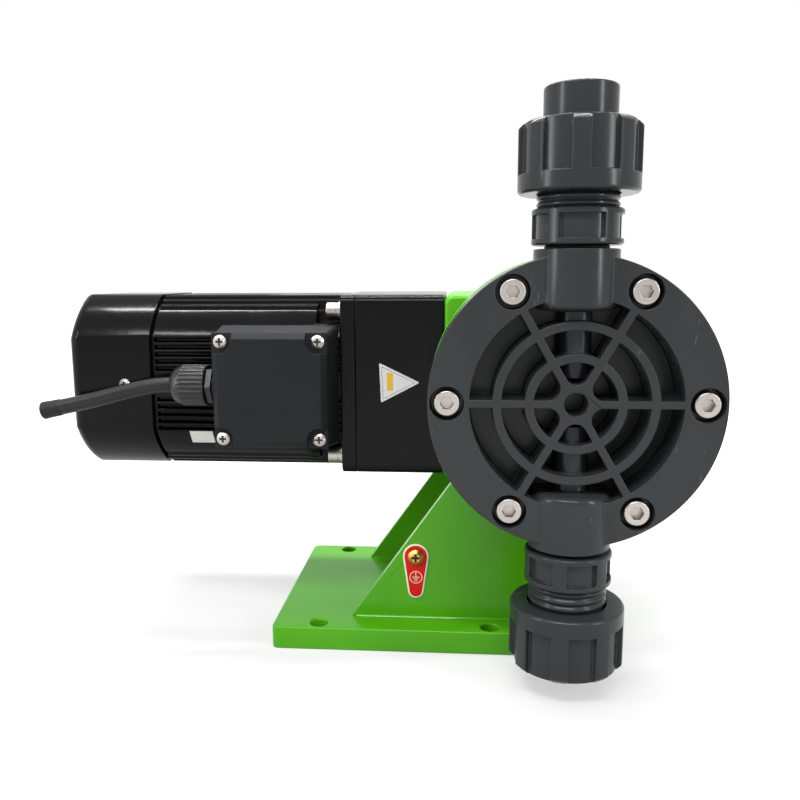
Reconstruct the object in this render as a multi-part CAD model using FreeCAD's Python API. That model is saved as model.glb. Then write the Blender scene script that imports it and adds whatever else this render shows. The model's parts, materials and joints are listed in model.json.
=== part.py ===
import FreeCAD, Part
import math
import os

# Diaphragm metering pump on a welded bracket, driven by a finned gear motor. Millimetres.
# X runs to the right along the motor shaft, Y to the back, Z up.
# The origin is the middle of the base's four bolt holes, on its underside.

# Base plate, which is wider than the bracket by an edge on each side
base_length = 154.0
base_edge = 17.7
base_thickness = 13.6
base_corner = 4.0
base_bolt_from_end = 27.0
base_bolt_from_side = 7.5
base_hole = 10.4

# Union nuts, valves and the necks of the pump head, along one upright line
nut_floor_gap = 13.3
nut_radius = 29.4
nut_height = 34.0
nut_band = 9.0
nut_lip = 13.8
nut_slots = 8
nut_slot_width = 28.0
nut_slot_depth = 2.75
nut_shoulder = 3.2
nut_chamfer = 1.2
nut_engagement = 13.9
small_chamfer = 0.8
# The round of a nut's outer end: places as shares of nut_shoulder, back from the end and in from the side
nut_shoulder_shape = [(1.0, 0.0), (0.3, 0.7), (0.0, 1.8)]
base_to_nut = 0.4
collar_radius = 22.2
collar_height = 17.4
discharge_windows = 5
discharge_window_width = 58.0
suction_windows = 6
suction_window_width = 41.0
window_depth = 2.2
window_rim = 3.0
valve_gap = 1.8
valve_thread_radius = 20.0
discharge_thread_shown = 6.9
suction_thread_shown = 11.4
thread_pitch = 3.0
thread_depth = 1.1
thread_crest = 0.3
stub_radius = 14.0
stub_length = 17.5
neck_radius = 21.0
neck_length = 74.9
neck_shoulder = 47.5
neck_slope = 2.5
ball_radius = 7.0
ball_lift = 3.0
ball_side_gap = 1.4
ball_passage_step = 1.0
seat_height = 5.0
seat_radius = 9.2
seat_hole = 4.5
suction_seat_depth = 3.0
pipe_radius = 12.5
pipe_depth = 19.0
pipe_way = 8.4
union_tail_radius = 17.7
union_tail_length = 36.0
union_flange_height = 6.0
bush_set_back = 0.5
# Turns of the valve and nut forms as the photo shows them, in degrees from +X
discharge_window_turn = -91.6
suction_window_turn = -77.5
discharge_slot_turn = -73.4
suction_slot_turn = -80.6

# Pump head
head_x = 88.2
head_radius = 72.7
head_thickness = 39.0
neck_behind_front = 14.2
pocket_radius = 51.9
pocket_depth = 22.0
outer_rib = 38.4
inner_rib = 22.7
rib_width = 4.4
spoke_width = 4.0
spokes = 6
hub_fillet = 5.8
hub_fillet_end = 0.5
hub_hole = 5.8
hub_floor = 4.0
channel_tube = 8.5
channel_bore = 4.2
channel_reach = 12.0
channel_end_wall = 3.0
chamber_radius = 38.0
chamber_depth = 7.0
chamber_slope = 8.0
head_bolts = 6
head_bolt_circle = 126.0
head_bolt = 8.0
head_bolt_head = 13.0
head_bolt_recess = 17.0
head_bolt_sunk = 8.8
head_bolt_end_gap = 2.0
# The round of each neck's inner end: place as a share of neck_slope, and share of the neck's radius
neck_shoulder_shape = [(-0.8, 0.86), (-0.3, 0.95), (0.5, 1.0)]

# Diaphragm and drive
diaphragm_thickness = 3.0
diaphragm_radius = 56.0
diaphragm_plate_radius = 30.0
diaphragm_plate_thickness = 5.5
diaphragm_plate_edge = 2.5
stroke = 6.0
pushrod_radius = 7.0
bush_radius = 11.0
eccentric_offset = 3.0
eccentric_radius = 11.0
eccentric_ring = 5.0
eccentric_width = 12.0
yoke_wall = 7.5
yoke_width = 14.0
yoke_side = 6.0
yoke_end_gap = 1.0
spring_radius = 13.4
spring_wire = 2.0
spring_turns = 4

# Drive casing
head_from_casing_left = 66.0
casing_length = 119.0
casing_wall = 6.0
casing_edge = 6.0
casing_front_edge = 3.0
casing_flange_radius = 72.9
casing_flange_thickness = 14.0
casing_flange_step = 10.5
casing_neck_step = 2.0
recess_radius = 46.0
post_radius = 6.5
post_inset = 10.0
cover_thickness = 6.0
cover_screw = 5.0
cover_screw_depth = 12.0
screw_hole_spare = 2.0
bearing_boss = 5.0

# Stroke knob at the back
knob_radius = 24.0
knob_length = 22.0
knob_wall = 6.0
knob_skirt_step = 3.0
knob_skirt_length = 4.0
knob_skirt_slope = 1.0
knob_chamfer = 1.5
knob_bore_gap = 0.5
knob_flute_count = 24
knob_flute_radius = 1.3
knob_flute_rise = 0.4
sleeve_radius = 14.0
sleeve_length = 22.0
sleeve_spigot = 2.0
sleeve_flange_radius = 19.0
sleeve_flange_thickness = 3.0
spindle_radius = 5.0
spindle_tip_radius = 3.0
spindle_tip_hole = 3.0
pad_radius = 8.0
pad_length = 8.0
knob_gap = 3.0

# Bracket, whose plates stand just outside the casing's sides
bracket_plate = 6.0
bracket_outside_casing = 1.8
foot_left = -31.8
foot_right = 73.5
top_left_from_casing = 8.0
top_right_from_head = 10.0
saddle_thickness = 8.0
saddle_screw_from_edge = 12.0
saddle_boss = 6.0
weld_leg = 1.0
weld_inset = 2.5
earth_screw_x = 6.6
earth_screw_z = 51.7
earth_screw = 5.0
earth_screw_spare = 1.0
earth_label_top = 7.65
earth_label_bottom = 4.7
earth_label_drop = 20.9
earth_label_thickness = 0.5

# Gearbox and motor
frame_size = 104.0
frame_edge = 5.5
gearbox_length = 50.5
gearbox_wall = 4.0
gearbox_end_wall = 8.2
motor_flange_thickness = 8.5
frame_bolt_inset = 9.575
frame_bolt = 6.0
frame_bolt_head = 10.0
frame_bolt_washers = 3.0
frame_bolt_end_gap = 1.5
washer_gap = 0.1
pinion_teeth = 12
wheel_teeth = 40
wheel_tip_gap = 1.25
pressure_angle = 20.0
tooth_addendum = 0.75
tooth_dedendum = 1.25
tooth_backlash = 0.16
flank_steps = 4
pinion_width = 14.0
wheel_width = 10.0
wheel_from_flange = 3.5
wheel_gap = 7.0
shaft_radius = 6.0
shaft_stub = 2.0
shaft_clearance = 1.0
layshaft_radius = 4.0
layshaft_pocket = 5.0
bearing_radius = 14.0
bearing_width = 8.0
bearing_race = 2.2
bearing_shield_depth = 0.6
housing_length = 110.2
housing_inset = 0.5
housing_flat_half = 28.0
housing_wall = 9.5
housing_pad_root = 3.0
fin_gap = 2.3
fin_pitch = 4.2
fin_depth = 5.0
side_grooves = 5
top_grooves = 8
flat_half = 7.9
corner_relief = 15.0
corner_relief_gap = 2.2
spigot_length = 5.0
core_length = 56.0
core_offset = 3.0
core_wall = 17.4
air_gap = 0.6
winding_length = 13.5
winding_wall = 11.0
winding_gap = 3.0
shield_thickness = 8.0
shield_from_cover = 3.0
shield_rib = 4.0
shield_spigot_wall = 6.0
shield_lug = 16.0
shield_lug_half = 9.0
shield_lug_depth = 7.0
fan_tip_gap = 2.0
fan_hub = 9.0
fan_hub_bite = 2.0
fan_blades = 7
fan_blade = 2.4
fan_disc = 2.0
fan_width = 18.0
fan_from_cover = 9.0
fan_shaft_end = 2.0
cover_length = 49.6
cover_gap = 2.2
cover_wall = 2.5
cover_flat_half = 27.0
cover_end_round = 7.0
cover_screw_from_rim = 15.6
cover_pin = 4.0
cover_pin_head = 6.6
cover_pin_length = 8.0
grille_rings = 4
grille_first = 13.0
grille_pitch = 7.5
grille_slot = 3.6
grille_slots = 6
grille_slot_turn = 48.0

# Terminal box, gland and lead
box_from_flange = 35.6
box_above_shaft = 0.2
lid_half = 32.0
lid_thickness = 6.0
box_depth = 22.0
box_base_extra = 2.6
box_wall = 3.0
box_post_radius = 4.0
lid_screw_spacing = 54.0
lid_screw = 3.2
lid_screw_head = 7.3
lid_screw_length = 10.0
lid_notch = 6.4
lid_notch_floor = 2.5
lid_chamfer = 3.4
box_round = 3.0
lead_hole = 7.0
block_half_length = 20.0
block_low = 22.0
block_high = 10.0
block_height = 6.0
block_posts = 5
block_post_pitch = 7.0
block_post_radius = 2.2
block_post_height = 5.0
gland_from_lid = 8.5
gland_above_shaft = 1.7
gland_gap = 5.8
gland_nut_length = 20.5
gland_nut_radius = 11.7
gland_nut_lip = 3.9
gland_flutes = 28
gland_flute_radius = 0.9
gland_flute_rise = 0.4
gland_hexagon = 19.0
gland_hexagon_gap = 0.6
gland_hexagon_foot = 1.8
gland_thread_radius = 8.0
gland_thread_inside = 2.0
lead_radius = 4.5
lead_gap = 0.6
seal_depth = 1.5
# The domed mouth of the gland's nut: distance from its mouth, and share of its radius
gland_dome_shape = [(0.0, 0.62), (2.5, 0.86), (7.0, 1.0)]
# The lead's route beyond the gland, chosen by hand: X, Y and Z
lead_route = [
    (-138.0, -65.5, 154.5), (-150.5, -65.7, 152.3), (-164.0, -66.2, 149.0), (-178.5, -66.8, 145.2),
    (-193.0, -67.4, 142.1), (-207.3, -67.9, 139.3),
]
# Share of a run's length that each rounded corner of the route may take
corner_share = 0.45

running_gap = 0.05
free_gap = 0.3
# How far a cutting shape reaches past the face that it cuts, and the play in telling edges apart
past = 1.0
tiny = 0.01

# Screw forms, as shares of the screw's size, its head's width or its head's height
socket_flats = 0.75
socket_depth = 0.5
socket_rim = 0.08
pan_height = 0.55
pan_edge = 0.45
pan_crown = 0.3
cross_width = 0.55
cross_depth = 0.6
cross_arm = 0.14
earth_screw_head = 1.8
earth_nut_flats = 1.6
earth_nut_height = 0.8
cover_screw_head = 1.7
plain_washer = 0.58
spring_washer = 0.5

# Worked out from the sizes above
frame_half = frame_size / 2
bracket_half_depth = frame_half + bracket_outside_casing
base_width = 2 * (bracket_half_depth + base_edge)
base_bolts_x = base_length - 2 * base_bolt_from_end
base_bolts_y = base_width - 2 * base_bolt_from_side
frame_bolt_square = frame_size - 2 * frame_bolt_inset
gearbox_bore = frame_half - gearbox_wall
housing_half = frame_half - housing_inset
housing_bore = housing_half - housing_wall
housing_round = math.hypot(housing_half, housing_flat_half)
cover_round = math.hypot(frame_half, cover_flat_half)
rotor_radius = housing_bore - core_wall - air_gap
fan_radius = frame_half - shield_from_cover - shield_lug_depth - fan_tip_gap
wheels_reach = pinion_teeth / 2 + wheel_teeth + tooth_addendum
gear_module = (gearbox_bore - wheel_tip_gap) / wheels_reach
shaft_z = (nut_floor_gap + nut_height + suction_thread_shown + collar_height + valve_gap
           + neck_length)
valve_y = -(base_width / 2 + base_to_nut + nut_radius)
head_front = valve_y - neck_behind_front
head_back = head_front + head_thickness
casing_left = head_x - head_from_casing_left
casing_right = casing_left + casing_length
casing_bottom = shaft_z - frame_half
casing_top = shaft_z + frame_half
gearbox_left = casing_left - gearbox_length
flange_left = gearbox_left - motor_flange_thickness
housing_left = flange_left - housing_length
cover_left = housing_left - cover_gap - cover_length
layshaft_z = shaft_z - gear_module * (pinion_teeth + wheel_teeth) / 2
sweep = eccentric_radius + eccentric_ring + eccentric_offset
yoke_front = -(sweep + free_gap)
yoke_back = sweep + free_gap + stroke
box_x = flange_left - box_from_flange
box_z = shaft_z + box_above_shaft
gland_y = -frame_half - box_depth + gland_from_lid
gland_z = shaft_z + gland_above_shaft


def on_axis(axis, along, across, up):
    """A point given along one axis and by its two other coordinates in X, Y, Z order."""
    if axis == "x":
        return FreeCAD.Vector(along, across, up)
    if axis == "y":
        return FreeCAD.Vector(across, along, up)
    return FreeCAD.Vector(across, up, along)


def block(x0, x1, y0, y1, z0, z1):
    return Part.makeBox(x1 - x0, y1 - y0, z1 - z0, FreeCAD.Vector(x0, y0, z0))


def rod(axis, radius, start, end, a, b):
    return Part.makeCylinder(radius, end - start, on_axis(axis, start, a, b), on_axis(axis, 1, 0, 0))


def tube(axis, outer, inner, start, end, a, b):
    return rod(axis, outer, start, end, a, b).cut(rod(axis, inner, start - past, end + past, a, b))


def prism(axis, outline, start, end):
    """Extrude a flat outline of (a, b) points along an axis."""
    points = [on_axis(axis, start, a, b) for a, b in outline]
    return Part.Face(Part.makePolygon(points + points[:1])).extrude(on_axis(axis, end - start, 0, 0))


def hexagon(axis, flats, start, end, a, b):
    radius = flats / math.sqrt(3)
    corners = [math.radians(60 * k) for k in range(6)]
    outline = [(a + radius * math.cos(t), b + radius * math.sin(t)) for t in corners]
    return prism(axis, outline, start, end)


def lathe(axis, profile, a, b):
    """Turn a closed profile of (along, radius) points about an axis line."""
    points = [on_axis(axis, along, a + radius, b) for along, radius in profile]
    face = Part.Face(Part.makePolygon(points + points[:1]))
    return face.revolve(on_axis(axis, 0, a, b), on_axis(axis, 1, 0, 0), 360)


def sector(axis, inner, outer, start, end, a, b, middle, width):
    """A piece of ring of a given width in degrees, about a middle direction from the first cross axis."""
    reach = 2 * outer
    outline = [(a, b)]
    for turn in (middle - width / 2, middle + width / 2):
        t = math.radians(turn)
        outline.append((a + reach * math.cos(t), b + reach * math.sin(t)))
    return tube(axis, outer, inner, start, end, a, b).common(prism(axis, outline, start, end))


def join(shapes):
    return shapes[0].multiFuse(shapes[1:]).removeSplitter()


def rounded_square(axis, half, corner, start, end, a, b, half_b=None):
    """A bar of square or oblong section with rounded long edges."""
    bar = prism(axis, oblong(a, b, half, half if half_b is None else half_b), start, end)
    direction = on_axis(axis, 1, 0, 0)
    long_edges = []
    for edge in bar.Edges:
        along = edge.tangentAt(edge.FirstParameter).dot(direction)
        if abs(along) > 0.999:
            long_edges.append(edge)
    return bar.makeFillet(corner, long_edges)


def oblong(a, b, half_a, half_b):
    """Corners of an oblong about a centre."""
    return [(a - half_a, b - half_b), (a + half_a, b - half_b),
            (a + half_a, b + half_b), (a - half_a, b + half_b)]


def cross_recess(axis, size, start, end, a, b):
    """Two crossed slots, as in a cross-head screw."""
    thin = size * cross_arm
    wide = prism(axis, oblong(a, b, size / 2, thin), start, end)
    tall = prism(axis, oblong(a, b, thin, size / 2), start, end)
    return join([wide, tall])


def socket_screw(axis, size, head, length, seat, a, b, way):
    """A socket-head screw whose head stands on a seat, on the side that way points to (+1 or -1)."""
    top = seat + way * size
    tip = seat - way * length
    rim = socket_rim * size
    profile = [(tip, 0), (tip, size / 2), (seat, size / 2), (seat, head / 2), (top - way * rim, head / 2),
               (top, head / 2 - rim), (top, 0)]
    low, high = sorted((top - way * size * socket_depth, top + way * past))
    return lathe(axis, profile, a, b).cut(hexagon(axis, size * socket_flats, low, high, a, b))


def pan_screw(axis, size, head, length, seat, a, b, way):
    """A cross-head pan screw whose head stands on a seat."""
    height = pan_height * size
    top = seat + way * height
    tip = seat - way * length
    profile = [(tip, 0), (tip, size / 2), (seat, size / 2), (seat, head / 2),
               (seat + way * height * pan_edge, head / 2), (top, head * pan_crown), (top, 0)]
    low, high = sorted((top - way * height * cross_depth, top + way * past))
    return lathe(axis, profile, a, b).cut(cross_recess(axis, head * cross_width, low, high, a, b))


# Base and bracket

def make_base():
    plate = rounded_square("z", base_length / 2, base_corner, 0, base_thickness, 0, 0, base_width / 2)
    holes = [rod("z", base_hole / 2, -past, base_thickness + past, x, y)
             for x, y in oblong(0, 0, base_bolts_x / 2, base_bolts_y / 2)]
    return plate.cut(holes)


def earth_screw_hole(y0, y1):
    return rod("y", earth_screw / 2 + running_gap, y0 - past, y1 + past, earth_screw_x, earth_screw_z)


def bracket_side(side):
    """One upright plate of the bracket, with its weld beads. Side is -1 at the front and +1 at the back."""
    outer = side * bracket_half_depth
    inner = side * (bracket_half_depth - bracket_plate)
    y0, y1 = sorted((outer, inner))
    top_left, top_right = saddle_span()
    outline = [(foot_left, base_thickness), (foot_right, base_thickness), (top_right, casing_bottom),
               (top_left, casing_bottom)]
    plate = prism("y", outline, y0, y1)
    beads = []
    for face, way in ((outer, side), (inner, -side)):
        section = [(face, base_thickness), (face + way * weld_leg, base_thickness),
                   (face, base_thickness + weld_leg)]
        beads.append(prism("x", section, foot_left + weld_inset, foot_right - weld_inset))
    plate = join([plate] + beads)
    if side < 0:
        plate = plate.cut(earth_screw_hole(y0, y1))
    return plate


def saddle_span():
    return casing_left + top_left_from_casing, head_x + top_right_from_head


def saddle_screw_places():
    left, right = saddle_span()
    middle = (left + right) / 2
    reach_x = (right - left) / 2 - saddle_screw_from_edge
    reach_y = bracket_half_depth - bracket_plate - saddle_screw_from_edge
    return [(middle + sx * reach_x, sy * reach_y) for sx in (-1, 1) for sy in (-1, 1)]


def make_saddle():
    left, right = saddle_span()
    depth = bracket_half_depth - bracket_plate
    bottom = casing_bottom - saddle_thickness
    plate = block(left, right, -depth, depth, bottom, casing_bottom)
    holes = [rod("z", frame_bolt / 2 + free_gap, bottom - past, casing_bottom + past, x, y)
             for x, y in saddle_screw_places()]
    return plate.cut(holes)


def make_saddle_screws():
    seat = casing_bottom - saddle_thickness
    length = saddle_thickness + casing_wall
    return [socket_screw("z", frame_bolt, frame_bolt_head, length, seat, x, y, -1)
            for x, y in saddle_screw_places()]


def make_earth_screw():
    front = -bracket_half_depth - earth_label_thickness
    inner = -bracket_half_depth + bracket_plate
    nut_end = inner + earth_nut_height * earth_screw
    length = nut_end + earth_screw_spare - front
    head = earth_screw_head * earth_screw
    screw = pan_screw("y", earth_screw, head, length, front, earth_screw_x, earth_screw_z, -1)
    nut = hexagon("y", earth_nut_flats * earth_screw, inner, nut_end, earth_screw_x, earth_screw_z)
    nut = nut.cut(rod("y", earth_screw / 2, inner - past, nut_end + past, earth_screw_x, earth_screw_z))
    return [screw, nut]


def make_earth_label():
    """A drop-shaped plate: a large round end about the screw, a small one below, joined by their tangents."""
    y0 = -bracket_half_depth - earth_label_thickness
    y1 = -bracket_half_depth
    low_z = earth_screw_z - earth_label_drop
    lean = math.asin((earth_label_top - earth_label_bottom) / earth_label_drop)
    outline = []
    for sign, radius, z in ((1, earth_label_top, earth_screw_z), (1, earth_label_bottom, low_z),
                            (-1, earth_label_bottom, low_z), (-1, earth_label_top, earth_screw_z)):
        outline.append((earth_screw_x + sign * radius * math.cos(lean), z - radius * math.sin(lean)))
    upper = rod("y", earth_label_top, y0, y1, earth_screw_x, earth_screw_z)
    lower = rod("y", earth_label_bottom, y0, y1, earth_screw_x, low_z)
    return join([prism("y", outline, y0, y1), upper, lower]).cut(earth_screw_hole(y0, y1))


# Pump head and valves

def bolt_circle(count, radius, first=0.0):
    """Points on a circle in the X-Z plane about the pump head's axis."""
    turns = [math.radians(first + 360 * k / count) for k in range(count)]
    return [(head_x + radius * math.cos(t), shaft_z + radius * math.sin(t)) for t in turns]


def neck_solid(side):
    """A neck of the head with its rounded inner shoulder and the narrow channel tube that it feeds."""
    full = side * neck_length
    shoulder = side * neck_shoulder
    inner = side * channel_reach
    profile = [(inner, 0), (inner, channel_tube), (shoulder - side * neck_slope, channel_tube)]
    for share, radius_share in neck_shoulder_shape:
        profile.append((shoulder + side * share * neck_slope, neck_radius * radius_share))
    profile += [(full, neck_radius), (full, 0)]
    return lathe("z", [(shaft_z + along, radius) for along, radius in profile], head_x, valve_y)


def head_hub(pocket_floor):
    """The head's hub, which runs into the spokes with one round fillet in each corner between them."""
    half_spoke = spoke_width / 2
    reach = (hub_fillet + half_spoke) / math.sin(math.pi / spokes)
    rim = math.hypot(reach * math.cos(math.pi / spokes), half_spoke) - hub_fillet_end
    rounds = [rod("y", hub_fillet, head_front - past, pocket_floor, x, z)
              for x, z in bolt_circle(spokes, reach, 180 / spokes)]
    return rod("y", rim, head_front, pocket_floor, head_x, shaft_z).cut(rounds)


def make_head():
    pocket_floor = head_front + pocket_depth
    disc = rod("y", head_radius, head_front, head_back, head_x, shaft_z)
    disc = disc.cut(rod("y", pocket_radius, head_front - past, pocket_floor, head_x, shaft_z))
    parts = [disc, neck_solid(1), neck_solid(-1)]
    for radius in (outer_rib, inner_rib):
        parts.append(tube("y", radius + rib_width / 2, radius - rib_width / 2, head_front, pocket_floor,
                          head_x, shaft_z))
    parts.append(head_hub(pocket_floor))
    for k in range(spokes // 2):
        spoke = block(head_x - pocket_radius - past, head_x + pocket_radius + past, head_front, pocket_floor,
                      shaft_z - spoke_width / 2, shaft_z + spoke_width / 2)
        spoke.rotate(FreeCAD.Vector(head_x, 0, shaft_z), FreeCAD.Vector(0, 1, 0), 360 * k / spokes)
        parts.append(spoke)
    head = join(parts)
    recess = head_back - diaphragm_thickness
    dome = recess - chamber_depth
    chamber = [(recess + past, 0), (recess + past, chamber_radius), (recess, chamber_radius),
               (dome, chamber_radius - chamber_slope), (dome, 0)]
    tools = [rod("y", diaphragm_radius + free_gap, recess, head_back + past, head_x, shaft_z),
             rod("y", hub_hole, head_front - past, pocket_floor - hub_floor, head_x, shaft_z),
             lathe("y", chamber, head_x, shaft_z)]
    for side in (-1, 1):
        turn_z = shaft_z + side * (channel_reach + channel_end_wall + channel_bore)
        mouth = sorted((shaft_z + side * (neck_length - stub_length), shaft_z + side * (neck_length + past)))
        tools.append(rod("z", stub_radius + running_gap, mouth[0], mouth[1], head_x, valve_y))
        bore = sorted((turn_z, shaft_z + side * neck_length))
        tools.append(rod("z", channel_bore, bore[0], bore[1], head_x, valve_y))
        tools.append(rod("y", channel_bore, valve_y, dome + past, head_x, turn_z))
    for x, z in bolt_circle(head_bolts, head_bolt_circle / 2):
        tools.append(rod("y", head_bolt_recess / 2, head_front - past, head_front + head_bolt_sunk, x, z))
        tools.append(rod("y", head_bolt / 2 + free_gap, head_front, head_back + past, x, z))
    return head.cut(tools)


def make_head_bolts():
    seat = head_front + head_bolt_sunk
    length = head_back + casing_flange_thickness - head_bolt_end_gap - seat
    return [socket_screw("y", head_bolt, head_bolt_head, length, seat, x, z, -1)
            for x, z in bolt_circle(head_bolts, head_bolt_circle / 2)]


def valve_levels(side):
    """Heights of one valve from the head outwards: neck face, collar, thread's end."""
    shown = discharge_thread_shown if side > 0 else suction_thread_shown
    collar_in = neck_length + valve_gap
    collar_out = collar_in + collar_height
    return collar_in, collar_out, collar_out + shown, collar_out + shown + nut_engagement


def ridged_thread(start, length, outer):
    """Profile points of a threaded length as plain ridges, from its start to its end."""
    count = max(1, int(length // thread_pitch))
    pitch = length / count
    flank = (1 - thread_crest) / 2
    points = []
    for k in range(count):
        points.append((start + k * pitch, outer - thread_depth))
        points.append((start + (k + flank) * pitch, outer))
        points.append((start + (k + flank + thread_crest) * pitch, outer))
    points.append((start + length, outer - thread_depth))
    return points


def valve_inner_end():
    return neck_length - stub_length + free_gap


def valve_body(side, windows, window_width, first_window):
    """A valve cartridge: stub into the neck, windowed collar, and threaded end for the union."""
    collar_in, collar_out, nut_in, end = valve_levels(side)
    inner_end = valve_inner_end()
    rim = collar_radius - small_chamfer
    profile = [(inner_end, 0), (inner_end, stub_radius), (collar_in, stub_radius), (collar_in, rim),
               (collar_in + small_chamfer, collar_radius), (collar_out - small_chamfer, collar_radius),
               (collar_out, rim)]
    profile += ridged_thread(collar_out, nut_in - collar_out, valve_thread_radius)
    profile += [(end, valve_thread_radius - thread_depth), (end, 0)]
    body = lathe("z", [(shaft_z + side * along, radius) for along, radius in profile], head_x, valve_y)
    tools = []
    low, high = sorted(shaft_z + side * along for along in (collar_in + window_rim, collar_out - window_rim))
    for k in range(windows):
        tools.append(sector("z", collar_radius - window_depth, collar_radius + past, low, high, head_x,
                            valve_y, first_window + 360 * k / windows, window_width))
    tools += valve_passages(side, inner_end, end)
    return body.cut(tools)


def seat_level(side):
    """Height of the top of a valve's seat, from the shaft's height: the ball lies above it in both valves."""
    if side > 0:
        return valve_inner_end() + seat_height
    return -(valve_inner_end() + suction_seat_depth) - chamber_height()


def ball_seat_rise():
    return math.sqrt(ball_radius ** 2 - seat_hole ** 2)


def chamber_height():
    return ball_seat_rise() + ball_radius + ball_lift + 3 * free_gap


def valve_passages(side, inner_end, end):
    top_of_seat = shaft_z + seat_level(side)
    chamber_end = top_of_seat + chamber_height()
    chamber = rod("z", ball_radius + ball_side_gap, top_of_seat, chamber_end, head_x, valve_y)
    way_out = ball_radius - ball_passage_step
    if side > 0:
        outlet = rod("z", way_out, top_of_seat, shaft_z + end + past, head_x, valve_y)
        inlet = rod("z", seat_radius, top_of_seat - seat_height - past, top_of_seat, head_x, valve_y)
    else:
        outlet = rod("z", way_out, top_of_seat, shaft_z - inner_end + past, head_x, valve_y)
        inlet = rod("z", seat_radius, shaft_z - end - past, top_of_seat, head_x, valve_y)
    return [chamber, outlet, inlet]


def make_seats():
    seats = []
    for side in (1, -1):
        top = shaft_z + seat_level(side)
        ring = tube("z", seat_radius, seat_hole, top - seat_height, top, head_x, valve_y)
        seats.append(ring)
    return seats


def make_ball(side):
    centre = shaft_z + seat_level(side) + ball_seat_rise() + free_gap
    return Part.makeSphere(ball_radius, FreeCAD.Vector(head_x, valve_y, centre))


def union_levels(side):
    """Heights of one union from the head outwards: nut's start and end, and the top of the valve's thread."""
    nut_in, end = valve_levels(side)[2:]
    return nut_in, nut_in + nut_height, end


def union_nut(side, first_slot):
    nut_in, nut_out = union_levels(side)[:2]
    lip_in = nut_out - nut_lip
    inner_radius = valve_thread_radius + free_gap
    lip_radius = union_tail_radius + free_gap
    profile = [(nut_in, inner_radius), (nut_in, nut_radius - nut_chamfer), (nut_in + nut_chamfer, nut_radius)]
    for share, drop in nut_shoulder_shape:
        profile.append((nut_out - share * nut_shoulder, nut_radius - drop * nut_shoulder))
    profile += [(nut_out, lip_radius), (lip_in, lip_radius), (lip_in, inner_radius)]
    nut = lathe("z", [(shaft_z + side * along, radius) for along, radius in profile], head_x, valve_y)
    low, high = sorted((shaft_z + side * (nut_in + nut_band), shaft_z + side * (nut_out + past)))
    slots = [sector("z", nut_radius - nut_slot_depth, nut_radius + past, low, high, head_x, valve_y,
                    first_slot + 360 * k / nut_slots, nut_slot_width) for k in range(nut_slots)]
    return nut.cut(slots)


def union_tail(side, length):
    """The flanged pipe socket that a union nut pulls against its valve."""
    thread_end = union_levels(side)[2]
    flange_out = thread_end + union_flange_height
    tail_out = flange_out + length
    socket_floor = tail_out - pipe_depth
    flange_radius = valve_thread_radius - running_gap
    profile = [(thread_end, pipe_way), (thread_end, flange_radius), (flange_out, flange_radius),
               (flange_out, union_tail_radius), (tail_out - small_chamfer, union_tail_radius),
               (tail_out, union_tail_radius - small_chamfer), (tail_out, pipe_radius),
               (socket_floor, pipe_radius), (socket_floor, pipe_way)]
    return lathe("z", [(shaft_z + side * along, radius) for along, radius in profile], head_x, valve_y)


def suction_bush_length():
    nut_out, thread_end = union_levels(-1)[1:]
    return nut_out - thread_end - union_flange_height - bush_set_back


def make_o_rings():
    """The ring between each valve's collar and its neck, seated on the valve's stub."""
    rings = []
    section = valve_gap / 2
    for side in (1, -1):
        middle = shaft_z + side * (neck_length + section)
        centre = FreeCAD.Vector(head_x, valve_y, middle)
        rings.append(Part.makeTorus(stub_radius + section, section, centre, FreeCAD.Vector(0, 0, 1)))
    return rings


# Diaphragm, pushrod and eccentric

def make_diaphragm():
    return rod("y", diaphragm_radius, head_back - diaphragm_thickness, head_back, head_x, shaft_z)


def plate_back():
    return head_back + free_gap + diaphragm_plate_thickness


def make_diaphragm_plate():
    front = head_back + free_gap
    profile = [(front, 0), (front, diaphragm_plate_radius),
               (front + diaphragm_plate_edge, diaphragm_plate_radius),
               (plate_back(), diaphragm_plate_radius / 2), (plate_back(), 0)]
    return lathe("y", profile, head_x, shaft_z)


def make_pushrod():
    return rod("y", pushrod_radius, plate_back(), yoke_front - yoke_wall, head_x, shaft_z)


def make_yoke():
    half = yoke_width / 2
    inner_z = sweep + yoke_end_gap
    frame = block(head_x - half, head_x + half, yoke_front - yoke_wall, yoke_back + yoke_wall,
                  shaft_z - inner_z - yoke_side, shaft_z + inner_z + yoke_side)
    window = block(head_x - half - past, head_x + half + past, yoke_front, yoke_back,
                   shaft_z - inner_z, shaft_z + inner_z)
    return frame.cut(window)


def make_spring():
    """The return spring, a coil from the casing's front wall to the yoke."""
    start = -frame_half + casing_wall + spring_wire / 2
    end = yoke_front - yoke_wall - free_gap - spring_wire / 2
    helix = Part.makeHelix((end - start) / spring_turns, end - start, spring_radius)
    place = FreeCAD.Placement(FreeCAD.Vector(head_x, start, shaft_z),
                              FreeCAD.Rotation(FreeCAD.Vector(1, 0, 0), -90))
    helix.Placement = place
    first = helix.Edges[0]
    point = first.valueAt(first.FirstParameter)
    circle = Part.Wire(Part.makeCircle(spring_wire / 2, point, first.tangentAt(first.FirstParameter)))
    return Part.Wire(helix.Edges).makePipeShell([circle], True, True)


def make_eccentric():
    half = eccentric_width / 2
    disc = rod("x", eccentric_radius, head_x - half, head_x + half, -eccentric_offset, shaft_z)
    return disc.cut(rod("x", shaft_radius, head_x - half - past, head_x + half + past, 0, shaft_z))


def make_eccentric_ring():
    half = eccentric_width / 2
    return tube("x", eccentric_radius + eccentric_ring, eccentric_radius, head_x - half, head_x + half,
                -eccentric_offset, shaft_z)


# Casing, rear cover and stroke knob

def casing_bar(y0, y1):
    """A length of the casing's outer form, with its four long edges rounded."""
    middle_x = (casing_left + casing_right) / 2
    return rounded_square("y", casing_length / 2, casing_edge, y0, y1, middle_x, shaft_z, frame_half)


def post_places():
    return [(x, z) for x in (casing_left + post_inset, casing_right - post_inset)
            for z in (casing_bottom + post_inset, casing_top - post_inset)]


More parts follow.
